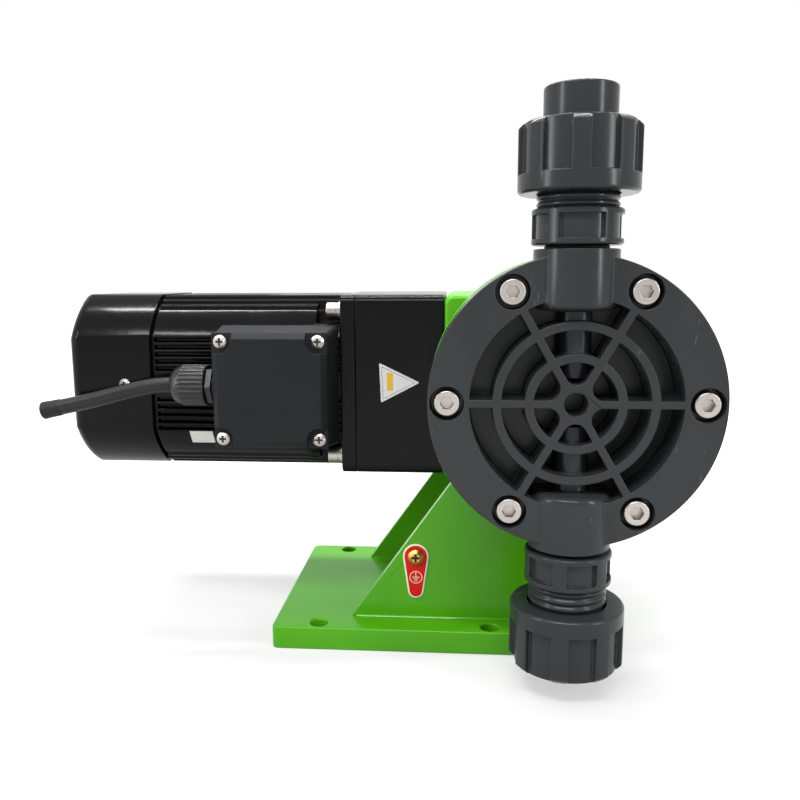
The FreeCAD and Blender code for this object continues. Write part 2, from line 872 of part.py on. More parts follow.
def frame_bolt_places():
    half = frame_bolt_square / 2
    return [(sy * half, shaft_z + sz * half) for sy in (-1, 1) for sz in (-1, 1)]


def right_bearing_span():
    end = casing_right - casing_wall
    return end - bearing_width, end


def make_casing():
    flange_back = head_back + casing_flange_thickness
    front_inside = -frame_half + casing_wall
    body = casing_bar(-frame_half, frame_half)
    front_edges = []
    for edge in body.Edges:
        box = edge.BoundBox
        if box.YMax < -frame_half + tiny and box.XLength > casing_length / 2 and box.ZLength < tiny:
            front_edges.append(edge)
    body = body.makeFillet(casing_front_edge, front_edges)
    inner = block(casing_left + casing_wall, casing_right - casing_wall, front_inside, frame_half + past,
                  casing_bottom + casing_wall, casing_top - casing_wall)
    seat_start, seat_end = right_bearing_span()
    parts = [body.cut(inner),
             rod("y", casing_flange_radius, head_back, flange_back, head_x, shaft_z),
             rod("y", frame_half - casing_neck_step, flange_back, front_inside, head_x, shaft_z),
             rod("x", bearing_radius + bearing_boss, seat_start, seat_end + past, 0, shaft_z)]
    for x, z in post_places():
        post = rod("y", post_radius, -frame_half + past, frame_half, x, z)
        parts.append(post.common(casing_bar(-frame_half, frame_half)))
    for x, y in saddle_screw_places():
        parts.append(rod("z", post_radius, casing_bottom, casing_bottom + casing_wall + saddle_boss, x, y))
    casing = join(parts)
    thread_end = frame_half - cover_screw_depth - screw_hole_spare
    tools = [rod("y", recess_radius, head_back - past, head_back + casing_flange_step, head_x, shaft_z),
             rod("y", bush_radius, head_back, front_inside + past, head_x, shaft_z),
             rod("x", bearing_radius, seat_start - past, seat_end, 0, shaft_z),
             rod("x", bearing_radius, casing_left - past, casing_left + casing_wall + past, 0, shaft_z)]
    for x, z in bolt_circle(head_bolts, head_bolt_circle / 2):
        tools.append(rod("y", head_bolt / 2, head_back - past, flange_back + past, x, z))
    for x, z in post_places():
        tools.append(rod("y", cover_screw / 2, thread_end, frame_half + past, x, z))
    for x, y in saddle_screw_places():
        tools.append(rod("z", frame_bolt / 2, casing_bottom - past, casing_bottom + casing_wall, x, y))
    for y, z in frame_bolt_places():
        tools.append(rod("x", frame_bolt / 2, casing_left - past, casing_left + frame_bolt_hole(), y, z))
    return casing.cut(tools)


def frame_bolt_hole():
    """Depth of the holes for the long frame bolts in the casing's left wall."""
    return casing_wall - frame_bolt_end_gap / 2


def make_guide_bush():
    start = head_back + casing_flange_step + past
    end = -frame_half + casing_wall
    return tube("y", bush_radius, pushrod_radius + running_gap, start, end, head_x, shaft_z)


def make_rear_cover():
    start = frame_half
    end = frame_half + cover_thickness
    tools = [rod("y", sleeve_radius, start - past, end + past, head_x, shaft_z)]
    for x, z in post_places():
        tools.append(rod("y", cover_screw / 2 + free_gap, start - past, end + past, x, z))
    return casing_bar(start, end).cut(tools)


def make_cover_screws():
    seat = frame_half + cover_thickness
    length = cover_thickness + cover_screw_depth
    return [socket_screw("y", cover_screw, cover_screw_head * cover_screw, length, seat, x, z, 1)
            for x, z in post_places()]


def make_spindle_bush():
    start = frame_half - sleeve_spigot
    seat = frame_half + cover_thickness
    shoulder = seat + sleeve_flange_thickness
    end = seat + sleeve_length
    bore = spindle_radius + running_gap
    profile = [(start, bore), (start, sleeve_radius), (seat, sleeve_radius), (seat, sleeve_flange_radius),
               (shoulder, sleeve_flange_radius), (shoulder, sleeve_radius), (end, sleeve_radius), (end, bore)]
    return lathe("y", profile, head_x, shaft_z)


def pad_start():
    return yoke_back + yoke_wall + free_gap


def make_stop_pad():
    start = pad_start()
    end = start + pad_length
    hole = rod("y", spindle_tip_radius + running_gap, start + spindle_tip_hole, end + past, head_x, shaft_z)
    return rod("y", pad_radius, start, end, head_x, shaft_z).cut(hole)


def knob_start():
    return frame_half + cover_thickness + sleeve_flange_thickness + knob_gap


def make_spindle():
    tip = pad_start() + spindle_tip_hole + free_gap
    shoulder = pad_start() + pad_length + free_gap
    end = knob_start() + knob_length - knob_wall
    profile = [(tip, 0), (tip, spindle_tip_radius), (shoulder, spindle_tip_radius),
               (shoulder, spindle_radius), (end, spindle_radius), (end, 0)]
    return lathe("y", profile, head_x, shaft_z)


def make_knob():
    start = knob_start()
    end = start + knob_length
    skirt = knob_radius - knob_skirt_step
    skirt_end = start + knob_skirt_length
    grip_start = skirt_end + knob_skirt_slope
    bore = sleeve_radius + knob_bore_gap
    profile = [(start, bore), (start, skirt), (skirt_end, skirt), (grip_start, knob_radius),
               (end - knob_chamfer, knob_radius), (end, knob_radius - knob_chamfer), (end, 0),
               (end - knob_wall, 0), (end - knob_wall, bore)]
    knob = lathe("y", profile, head_x, shaft_z)
    flutes = []
    for x, z in bolt_circle(knob_flute_count, knob_radius + knob_flute_rise):
        flutes.append(rod("y", knob_flute_radius, grip_start, end + past, x, z))
    return knob.cut(flutes)


# Gearbox and gears

def make_gearbox():
    body = rounded_square("x", frame_half, frame_edge, gearbox_left, casing_left, 0, shaft_z)
    end_wall = casing_left - gearbox_end_wall
    pivot = layshaft_radius + running_gap
    tools = [rod("x", gearbox_bore, gearbox_left - past, end_wall, 0, shaft_z),
             rod("x", bearing_radius, end_wall - past, casing_left + past, 0, shaft_z),
             rod("x", pivot, end_wall - past, end_wall + layshaft_pocket, 0, layshaft_z)]
    for y, z in frame_bolt_places():
        tools.append(rod("x", frame_bolt / 2 + free_gap, gearbox_left - past, casing_left + past, y, z))
    return body.cut(tools)


def make_motor_flange():
    start = flange_left - spigot_length
    plate = rounded_square("x", frame_half, frame_edge, flange_left, gearbox_left, 0, shaft_z)
    spigot = rod("x", housing_bore - running_gap, start, flange_left + past, 0, shaft_z)
    pivot = layshaft_radius + running_gap
    tools = [rod("x", bearing_radius, start - past, start + bearing_width, 0, shaft_z),
             rod("x", shaft_radius + shaft_clearance, start, gearbox_left + past, 0, shaft_z),
             rod("x", pivot, gearbox_left - layshaft_pocket, gearbox_left + past, 0, layshaft_z)]
    for y, z in frame_bolt_places():
        tools.append(rod("x", frame_bolt / 2 + free_gap, flange_left - past, gearbox_left + past, y, z))
    return join([plate, spigot]).cut(tools)


def make_frame_bolts():
    seat = flange_left - frame_bolt_washers
    length = casing_left + casing_wall - frame_bolt_end_gap - seat
    return [socket_screw("x", frame_bolt, frame_bolt_head, length, seat, y, z, -1)
            for y, z in frame_bolt_places()]


def make_frame_washers():
    """A plain washer against the motor's flange and a smaller spring washer under each bolt's head."""
    washers = []
    seat = flange_left - frame_bolt_washers
    split = flange_left - frame_bolt_washers / 2
    bore = frame_bolt / 2 + washer_gap
    for y, z in frame_bolt_places():
        washers.append(tube("x", frame_bolt_head * plain_washer, bore, split, flange_left, y, z))
        washers.append(tube("x", frame_bolt_head * spring_washer, bore, seat, split, y, z))
    return washers


def tooth_half_angle(teeth, radius):
    """Half the angle that one involute tooth covers at a radius, thinned for backlash."""
    pitch_radius = gear_module * teeth / 2
    base_radius = pitch_radius * math.cos(math.radians(pressure_angle))
    at_pitch = math.radians(pressure_angle)
    at_radius = math.acos(min(1.0, base_radius / radius))
    involute = (math.tan(at_pitch) - at_pitch) - (math.tan(at_radius) - at_radius)
    return (math.pi / 2 - tooth_backlash / (2 * gear_module)) / teeth + involute


def gear(teeth, start, end, z, tooth_at, bore):
    """A spur gear about a line along X, with a tooth centred at an angle from +Z towards +Y."""
    pitch_radius = gear_module * teeth / 2
    tip = pitch_radius + tooth_addendum * gear_module
    root = pitch_radius - tooth_dedendum * gear_module
    base_radius = pitch_radius * math.cos(math.radians(pressure_angle))
    foot = max(base_radius, root)
    flank = [foot + (tip - foot) * k / flank_steps for k in range(flank_steps + 1)]
    outline = []
    for tooth in range(teeth):
        centre = math.radians(tooth_at) + 2 * math.pi * tooth / teeth
        side = [(root, tooth_half_angle(teeth, foot))] if root < foot else []
        side += [(radius, tooth_half_angle(teeth, radius)) for radius in flank]
        for radius, half in side:
            outline.append((radius * math.sin(centre - half), z + radius * math.cos(centre - half)))
        for radius, half in reversed(side):
            outline.append((radius * math.sin(centre + half), z + radius * math.cos(centre + half)))
    wheel = prism("x", outline, start, end)
    if bore:
        wheel = wheel.cut(rod("x", bore, start - past, end + past, 0, z))
    return wheel


def first_wheel_span():
    start = gearbox_left + wheel_from_flange
    return start, start + wheel_width


def output_wheel_span():
    start = first_wheel_span()[1] + wheel_gap
    return start, start + wheel_width


def make_layshaft():
    start, end = output_wheel_span()
    spare = (pinion_width - wheel_width) / 2
    reach = layshaft_pocket - free_gap
    pinion = gear(pinion_teeth, start - spare, end + spare, layshaft_z, 0, 0)
    right_wall = casing_left - gearbox_end_wall
    shaft = rod("x", layshaft_radius, gearbox_left - reach, right_wall + reach, 0, layshaft_z)
    return join([shaft, pinion])


def make_layshaft_wheel():
    start, end = first_wheel_span()
    return gear(wheel_teeth, start, end, layshaft_z, 180 / wheel_teeth, layshaft_radius)


def make_output_wheel():
    start, end = output_wheel_span()
    return gear(wheel_teeth, start, end, shaft_z, 180 + 180 / wheel_teeth, shaft_radius)


def make_output_shaft():
    start = output_wheel_span()[0] - shaft_stub
    return rod("x", shaft_radius, start, right_bearing_span()[1] - free_gap, 0, shaft_z)


def bearing(start):
    """A ball bearing as one ring, with its shields set back between the races."""
    end = start + bearing_width
    ring = tube("x", bearing_radius, shaft_radius + running_gap, start, end, 0, shaft_z)
    grooves = []
    for low, high in ((start - past, start + bearing_shield_depth), (end - bearing_shield_depth, end + past)):
        grooves.append(tube("x", bearing_radius - bearing_race, shaft_radius + bearing_race, low, high,
                            0, shaft_z))
    return ring.cut(grooves)


def make_output_bearings():
    return [bearing(casing_left - bearing_width), bearing(right_bearing_span()[0])]


# Motor

def flatted_bar(half, radius, start, end):
    """A round bar about the shaft with four flats, which leave a stretch of the round at each corner."""
    square = block(start, end, -half, half, shaft_z - half, shaft_z + half)
    return square.common(rod("x", radius, start, end, 0, shaft_z))


def groove_floor(offset):
    """How far a groove's floor lies from the housing's axis, at an offset from the middle of its side."""
    return min(housing_half, math.sqrt(housing_round ** 2 - offset ** 2)) - fin_depth


def groove_spans(count):
    """Both edges and the floor of each groove on one side of the housing, on both halves of that side."""
    spans = []
    for k in range(count):
        offset = flat_half + k * fin_pitch
        floor = groove_floor(offset + fin_gap / 2)
        spans.append((offset, offset + fin_gap, floor))
        spans.append((-offset - fin_gap, -offset, floor))
    return spans


def make_housing():
    start = housing_left
    end = flange_left
    bar = flatted_bar(housing_half, housing_round, start, end)
    pad = prism("y", oblong(box_x, box_z, lid_half, lid_half), -frame_half,
                -frame_half + fin_depth + housing_pad_root)
    grooves = []
    for side in (-1, 1):
        for low, high, floor in groove_spans(side_grooves):
            near, far = sorted((side * floor, side * (housing_half + past)))
            grooves.append(block(start - past, end + past, near, far, shaft_z + low, shaft_z + high))
        for low, high, floor in groove_spans(top_grooves):
            near, far = sorted((side * floor, side * (housing_half + past)))
            grooves.append(block(start - past, end + past, low, high, shaft_z + near, shaft_z + far))
    body = join([bar.cut(grooves), pad])
    reach = frame_bolt_head / 2 + corner_relief_gap
    tools = [rod("x", housing_bore, start - past, end + past, 0, shaft_z),
             rod("y", lead_hole, -frame_half - past, 0, box_x, box_z)]
    for y, z in frame_bolt_places():
        sy = 1 if y > 0 else -1
        sz = 1 if z > shaft_z else -1
        y0, y1 = sorted((y - sy * reach, sy * (frame_half + past)))
        z0, z1 = sorted((z - sz * reach, shaft_z + sz * (frame_half + past)))
        tools.append(block(end - corner_relief, end + past, y0, y1, z0, z1))
    return body.cut(tools)


def core_span():
    middle = (housing_left + flange_left) / 2 + core_offset
    return middle - core_length / 2, middle + core_length / 2


def make_stator_core():
    start, end = core_span()
    return tube("x", housing_bore, rotor_radius + air_gap, start, end, 0, shaft_z)


def make_windings():
    start, end = core_span()
    outer = housing_bore - winding_gap
    inner = outer - winding_wall
    return [tube("x", outer, inner, start - winding_length, start, 0, shaft_z),
            tube("x", outer, inner, end, end + winding_length, 0, shaft_z)]


def make_rotor_core():
    start, end = core_span()
    return tube("x", rotor_radius, shaft_radius, start, end, 0, shaft_z)


def fan_span():
    start = cover_left + cover_wall + fan_from_cover
    return start, start + fan_width


def make_motor_shaft():
    """The motor shaft with its pinion cut on the end."""
    wheel_start, wheel_end = first_wheel_span()
    spare = (pinion_width - wheel_width) / 2
    pinion = gear(pinion_teeth, wheel_start - spare, wheel_end + spare, shaft_z, 180, 0)
    shaft = rod("x", shaft_radius, fan_span()[0] - fan_shaft_end, wheel_start - spare, 0, shaft_z)
    return join([shaft, pinion])


def make_motor_bearings():
    rear = housing_left + spigot_length
    return [bearing(flange_left - spigot_length), bearing(rear - bearing_width)]


def shield_half():
    return frame_half - shield_from_cover


def make_rear_shield():
    """The motor's rear bearing plate, inside the mouth of the fan cover, with lugs for the cover's screws."""
    end = housing_left
    start = end - shield_thickness
    inside = end + spigot_length
    plate = flatted_bar(shield_half(), cover_round - shield_from_cover, start, end)
    spigot = rod("x", housing_bore - running_gap, end - past, inside, 0, shaft_z)
    parts = [plate, spigot]
    for side in (-1, 1):
        y0, y1 = sorted((side * shield_half(), side * (shield_half() - shield_lug_depth)))
        parts.append(block(start - shield_lug, start + past, y0, y1, shaft_z - shield_lug_half,
                           shaft_z + shield_lug_half))
    tools = [rod("x", bearing_radius, inside - bearing_width, inside + past, 0, shaft_z),
             rod("x", shaft_radius + shaft_clearance, start - past, inside, 0, shaft_z),
             tube("x", housing_bore - shield_spigot_wall, bearing_radius + shield_rib, end + past,
                  inside + past, 0, shaft_z)]
    for side in (-1, 1):
        y0, y1 = sorted((side * (shield_half() - shield_lug_depth - past), side * (shield_half() + past)))
        tools.append(rod("y", cover_pin / 2, y0, y1, cover_screw_x(), shaft_z))
    return join(parts).cut(tools)


def cover_screw_x():
    return cover_left + cover_length - cover_screw_from_rim


def make_fan():
    start, end = fan_span()
    hub = rod("x", fan_hub, start, end, 0, shaft_z)
    disc = rod("x", fan_radius - fan_hub_bite, end - fan_disc, end, 0, shaft_z)
    parts = [hub, disc]
    for k in range(fan_blades):
        blade = block(start, end, fan_hub - fan_hub_bite, fan_radius, shaft_z - fan_blade / 2,
                      shaft_z + fan_blade / 2)
        blade.rotate(FreeCAD.Vector(0, 0, shaft_z), FreeCAD.Vector(1, 0, 0), 360 * k / fan_blades)
        parts.append(blade)
    return join(parts).cut(rod("x", shaft_radius, start - past, end + past, 0, shaft_z))


def cover_form(inset, start, end, round_end):
    """The fan cover's form: round with four flats, and a rounded outer end."""
    form = flatted_bar(frame_half - inset, cover_round - inset, start, end)
    rim = [edge for edge in form.Edges if edge.BoundBox.XMax < start + tiny]
    return form.makeFillet(round_end, rim)


def make_fan_cover():
    end = cover_left + cover_length
    outer = cover_form(0, cover_left, end, cover_end_round)
    inner = cover_form(cover_wall, cover_left + cover_wall, end + past, cover_end_round - cover_wall)
    slots = []
    for ring in range(grille_rings):
        radius = grille_first + grille_pitch * ring
        for k in range(grille_slots):
            slots.append(sector("x", radius, radius + grille_slot, cover_left - past,
                                cover_left + cover_wall + past, 0, shaft_z, 360 * k / grille_slots,
                                grille_slot_turn))
    for side in (-1, 1):
        y0, y1 = sorted((side * (frame_half - cover_wall - past), side * (frame_half + past)))
        slots.append(rod("y", cover_pin / 2 + free_gap, y0, y1, cover_screw_x(), shaft_z))
    return outer.cut(inner).cut(slots)


def make_cover_pins():
    return [pan_screw("y", cover_pin, cover_pin_head, cover_pin_length, side * frame_half, cover_screw_x(),
                      shaft_z, side) for side in (-1, 1)]


# Terminal box, gland and lead

def lid_back():
    return -frame_half - box_depth


def screw_places():
    half = lid_screw_spacing / 2
    return [(box_x + sx * half, box_z + sz * half) for sx in (-1, 1) for sz in (-1, 1)]


def box_loft(inset, front, back):
    """The box's tapered form, narrow at the lid and wider at the motor."""
    rings = []
    for y, half in ((front, lid_half - inset), (back, lid_half + box_base_extra - inset)):
        rings.append([on_axis("y", y, a, b) for a, b in oblong(box_x, box_z, half, half)])
    outlines = [rings[0], rings[1]]
    for k in range(4):
        after = (k + 1) % 4
        outlines.append([rings[0][k], rings[0][after], rings[1][after], rings[1][k]])
    faces = [Part.Face(Part.makePolygon(outline + outline[:1])) for outline in outlines]
    solid = Part.makeSolid(Part.makeShell(faces))
    if solid.Volume < 0:
        solid.reverse()
    return solid


def make_terminal_box():
    box = box_loft(0, lid_back(), -frame_half)
    box = box.makeFillet(box_round, [edge for edge in box.Edges if edge.BoundBox.YLength > tiny])
    inner = box_loft(box_wall, lid_back() - past, -frame_half - box_wall)
    posts = [rod("y", box_post_radius, lid_back(), -frame_half, x, z).common(box) for x, z in screw_places()]
    shell = join([box.cut(inner)] + posts)
    left = box_x - lid_half
    tools = [rod("y", lid_screw / 2, lid_back() - past, lid_back() + lid_screw_length, x, z)
             for x, z in screw_places()]
    tools.append(rod("y", lead_hole, -frame_half - box_wall - past, -frame_half + past, box_x, box_z))
    tools.append(rod("x", gland_thread_radius, left - box_base_extra - past, left + box_wall + past,
                     gland_y, gland_z))
    return shell.cut(tools)


def make_terminal_lid():
    """The box's lid: chamfered face edges and a round-cornered step down for each corner screw."""
    front = lid_back() - lid_thickness
    step = lid_back() - lid_notch_floor
    lid = block(box_x - lid_half, box_x + lid_half, front, lid_back(), box_z - lid_half, box_z + lid_half)
    lid = lid.makeChamfer(lid_chamfer, [edge for edge in lid.Edges if edge.BoundBox.YMax < front + tiny])
    tools = []
    for x, z in screw_places():
        sx = 1 if x > box_x else -1
        sz = 1 if z > box_z else -1
        rim_x = box_x + sx * (lid_half + past)
        rim_z = box_z + sz * (lid_half + past)
        for inner_x, inner_z in ((x, z - sz * lid_notch), (x - sx * lid_notch, z)):
            x0, x1 = sorted((inner_x, rim_x))
            z0, z1 = sorted((inner_z, rim_z))
            tools.append(block(x0, x1, front - past, step, z0, z1))
        tools.append(rod("y", lid_notch, front - past, step, x, z))
        tools.append(rod("y", lid_screw / 2 + free_gap, front - past, lid_back() + past, x, z))
    return lid.cut(tools)


def make_lid_screws():
    seat = lid_back() - lid_notch_floor
    return [pan_screw("y", lid_screw, lid_screw_head, lid_screw_length, seat, x, z, -1)
            for x, z in screw_places()]


def make_terminal_block():
    back = -frame_half - box_wall
    front = back - block_height
    middle_z = box_z - (block_low + block_high) / 2
    parts = [block(box_x - block_half_length, box_x + block_half_length, front, back, box_z - block_low,
                   box_z - block_high)]
    for k in range(block_posts):
        x = box_x + block_post_pitch * (k - (block_posts - 1) / 2)
        parts.append(rod("y", block_post_radius, front - block_post_height, front + past, x, middle_z))
    return join(parts)


def gland_nut_start():
    """X of the gland nut's mouth, where the lead comes out."""
    return box_x - lid_half - gland_gap - gland_nut_length


def make_gland_body():
    mouth = gland_nut_start()
    left = box_x - lid_half
    thread = gland_thread_radius - running_gap
    lip = mouth + gland_nut_lip
    stub = rod("x", thread, lip + free_gap, left + box_wall + gland_thread_inside, gland_y, gland_z)
    seal = rod("x", lead_radius + lead_gap, mouth + seal_depth, lip + 2 * free_gap, gland_y, gland_z)
    flats = hexagon("x", gland_hexagon, left - gland_gap + gland_hexagon_gap, left - gland_hexagon_foot,
                    gland_y, gland_z)
    beside_thread = tube("x", gland_hexagon, thread, left - gland_gap, box_x, gland_y, gland_z)
    box_side = box_loft(0, lid_back() - past, -frame_half).common(beside_thread)
    return join([stub, seal, flats]).cut(box_side)


def make_gland_nut():
    mouth = gland_nut_start()
    end = mouth + gland_nut_length
    outer = gland_nut_radius
    lip = mouth + gland_nut_lip
    bore = gland_thread_radius + free_gap
    way = lead_radius + lead_gap + free_gap
    profile = [(mouth, way)]
    for along, share in gland_dome_shape:
        profile.append((mouth + along, outer * share))
    profile += [(end - small_chamfer, outer), (end, outer - small_chamfer), (end, bore), (lip, bore),
                (lip, way)]
    reach = outer + gland_flute_rise
    flutes = []
    for k in range(gland_flutes):
        t = math.radians(360 * (k + 0.5) / gland_flutes)
        flutes.append(rod("x", gland_flute_radius, mouth + seal_depth * 2, end + past,
                          gland_y + reach * math.cos(t), gland_z + reach * math.sin(t)))
    return lathe("x", profile, gland_y, gland_z).cut(flutes)


def route_points():
    start = FreeCAD.Vector(gland_nut_start() + seal_depth, gland_y, gland_z)
    return [start] + [FreeCAD.Vector(*point) for point in lead_route]


def smooth_path(points):
    """Straight runs joined by tangent arcs, each as large as its two runs allow. Also returns the radii."""
    edges = []
    radii = []
    last = points[0]
    for before, corner, after in zip(points, points[1:], points[2:]):
        back = (before - corner).normalize()
        ahead = (after - corner).normalize()
        half_turn = (math.pi - back.getAngle(ahead)) / 2
        cut_back = corner_share * min((before - corner).Length, (after - corner).Length)
        radius = cut_back / math.tan(half_turn)
        start = corner + back * cut_back
        end = corner + ahead * cut_back
        towards = (back + ahead).normalize()
        centre_gap = radius / math.cos(half_turn)
        middle = corner + towards * (centre_gap - radius)
        edges.append(Part.LineSegment(last, start).toShape())
        edges.append(Part.Arc(start, middle, end).toShape())
        radii.append(radius)
        last = end
    edges.append(Part.LineSegment(last, points[-1]).toShape())
    return Part.Wire(edges), radii


def make_lead():
    path, radii = smooth_path(route_points())
    points = route_points()
    circle = Part.Wire(Part.makeCircle(lead_radius, points[0], points[1] - points[0]))
    lead = path.makePipeShell([circle], True, True)
    expected = math.pi * lead_radius ** 2 * path.Length
    print("lead radii", [round(radius, 1) for radius in radii], "length", round(path.Length, 1),
          "volume ratio", round(lead.Volume / expected, 5))
    return lead


def make_all():
    return {
        "base_plate": make_base(),
        "front_bracket": bracket_side(-1),
        "rear_bracket": bracket_side(1),
        "saddle_plate": make_saddle(),
        "saddle_screws": make_saddle_screws(),
        "earth_screw": make_earth_screw(),
        "earth_label": make_earth_label(),
        "pump_head": make_head(),
        "head_bolts": make_head_bolts(),
        "discharge_valve_body": valve_body(1, discharge_windows, discharge_window_width,
                                           discharge_window_turn),
        "suction_valve_body": valve_body(-1, suction_windows, suction_window_width, suction_window_turn),
        "valve_seats": make_seats(),
        "discharge_ball": make_ball(1),
        "suction_ball": make_ball(-1),
        "valve_o_rings": make_o_rings(),
        "discharge_union_nut": union_nut(1, discharge_slot_turn),
        "suction_union_nut": union_nut(-1, suction_slot_turn),
        "discharge_tailpiece": union_tail(1, union_tail_length - union_flange_height),
        "suction_bush": union_tail(-1, suction_bush_length()),
        "diaphragm": make_diaphragm(),
        "diaphragm_plate": make_diaphragm_plate(),
        "pushrod": make_pushrod(),
        "guide_bush": make_guide_bush(),
        "yoke": make_yoke(),
        "return_spring": make_spring(),
        "eccentric": make_eccentric(),
        "eccentric_ring": make_eccentric_ring(),
        "drive_casing": make_casing(),
        "rear_cover": make_rear_cover(),
        "cover_screws": make_cover_screws(),
        "spindle_bush": make_spindle_bush(),
        "stop_pad": make_stop_pad(),
        "stroke_spindle": make_spindle(),
        "stroke_knob": make_knob(),
        "gearbox_body": make_gearbox(),
        "motor_flange": make_motor_flange(),
        "frame_bolts": make_frame_bolts(),
        "frame_washers": make_frame_washers(),
        "layshaft": make_layshaft(),
        "layshaft_wheel": make_layshaft_wheel(),
        "output_wheel": make_output_wheel(),
        "output_shaft": make_output_shaft(),
        "output_bearings": make_output_bearings(),
        "motor_housing": make_housing(),
        "stator_core": make_stator_core(),
        "stator_windings": make_windings(),
        "rotor_core": make_rotor_core(),
        "motor_shaft": make_motor_shaft(),
        "motor_bearings": make_motor_bearings(),
        "rear_shield": make_rear_shield(),
        "cooling_fan": make_fan(),
        "fan_cover": make_fan_cover(),
        "fan_cover_screws": make_cover_pins(),
        "terminal_box": make_terminal_box(),
        "terminal_lid": make_terminal_lid(),
        "lid_screws": make_lid_screws(),
        "terminal_block": make_terminal_block(),
        "gland_body": make_gland_body(),
        "gland_nut": make_gland_nut(),
        "motor_lead": make_lead(),
    }


os.makedirs("parts", exist_ok=True)
for name, shape in make_all().items():
    solids = shape if isinstance(shape, list) else [shape]
    whole = Part.makeCompound(solids) if len(solids) > 1 else solids[0]
    whole.exportStep("parts/" + name + ".step")
    box = whole.BoundBox
    print(name, len(whole.Solids), whole.isValid(), round(whole.Volume),
          "x", round(box.XMin, 1), round(box.XMax, 1), "y", round(box.YMin, 1), round(box.YMax, 1),
          "z", round(box.ZMin, 1), round(box.ZMax, 1))
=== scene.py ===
"""Looks for the diaphragm metering pump: finishes, rounded edges, labels, lead, light and camera."""
import bmesh
import bpy
import json
import math
import numpy as np
from mathutils import Matrix, Vector


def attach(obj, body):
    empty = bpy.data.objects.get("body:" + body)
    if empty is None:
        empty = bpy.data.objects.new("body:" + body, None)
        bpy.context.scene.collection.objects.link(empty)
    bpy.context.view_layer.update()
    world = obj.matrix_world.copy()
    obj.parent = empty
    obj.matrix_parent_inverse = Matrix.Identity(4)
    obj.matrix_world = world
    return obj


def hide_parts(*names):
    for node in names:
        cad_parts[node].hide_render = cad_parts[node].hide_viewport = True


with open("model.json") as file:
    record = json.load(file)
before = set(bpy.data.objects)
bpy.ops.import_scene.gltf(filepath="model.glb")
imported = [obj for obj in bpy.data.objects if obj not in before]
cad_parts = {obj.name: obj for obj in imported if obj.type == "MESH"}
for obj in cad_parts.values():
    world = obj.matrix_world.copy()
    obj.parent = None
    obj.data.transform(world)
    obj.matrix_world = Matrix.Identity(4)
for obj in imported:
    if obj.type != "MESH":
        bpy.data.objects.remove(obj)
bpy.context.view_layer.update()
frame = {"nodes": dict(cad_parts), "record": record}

# Places that the solids share, in metres
shaft_height = 0.1528
frame_front = -0.052
motor_front = -0.0515
motor_round = 0.05862
bracket_front = -0.0538
earth_screw_place = (0.0066, 0.0517)
earth_sign_height = 0.0390
lead_radius = 0.0045

# Rounding of edges, in metres and radians
solid_merge = 2e-6
label_merge = 1e-6
flat_angle = math.radians(0.4)
sharp_edge = math.radians(32)
edge_segments = 2
flat_face_weight = 80

# How far the recess floors of the cross-head screws lie from the middle plane
recess_floors = {"lid_screws": 0.077204, "earth_screw": 0.0554, "fan_cover_screws": 0.05288}
recess_tolerance = 0.00008

# The camera's place in metres, its yaw, pitch and roll in degrees, and its lens in millimetres
camera_place = (0.03154, -0.50366, 0.21477)
camera_angles = (-4.323, 8.795, -0.203)
camera_lens = 35.87


# Camera

def make_camera():
    """A camera turned left by its yaw and dipped by its pitch: its axes are the level axes, turned by both."""
    yaw, pitch, roll = (math.radians(angle) for angle in camera_angles)
    level = Vector((math.sin(yaw), math.cos(yaw), 0))
    right = Vector((math.cos(yaw), -math.sin(yaw), 0))
    above = Vector((0, 0, 1))
    ahead = level * math.cos(pitch) - above * math.sin(pitch)
    up = above * math.cos(pitch) + level * math.sin(pitch)
    side = right * math.cos(roll) + up * math.sin(roll)
    top = up * math.cos(roll) - right * math.sin(roll)
    camera = bpy.data.objects.new("camera", bpy.data.cameras.new("camera"))
    camera.data.sensor_width = 36
    camera.data.lens = camera_lens
    turn = Matrix((side, top, -ahead)).transposed().to_4x4()
    camera.matrix_world = Matrix.Translation(camera_place) @ turn
    bpy.context.scene.collection.objects.link(camera)
    bpy.context.scene.camera = camera


# Shader maths

class Value:
    """A socket of a look, with arithmetic: each operator adds one Math node."""

    def __init__(self, look, socket):
        self.look = look
        self.socket = socket

    def other(self, output):
        """Another output of the same node."""
        return Value(self.look, self.socket.node.outputs[output])

    def __add__(self, other):
        return self.look.maths("ADD", self, other)

    def __sub__(self, other):
        return self.look.maths("SUBTRACT", self, other)

    def __rsub__(self, other):
        return self.look.maths("SUBTRACT", other, self)

    def __mul__(self, other):
        return self.look.maths("MULTIPLY", self, other)

    def __truediv__(self, other):
        return self.look.maths("DIVIDE", self, other)

    def __abs__(self):
        return self.look.maths("ABSOLUTE", self)

    __radd__ = __add__
    __rmul__ = __mul__


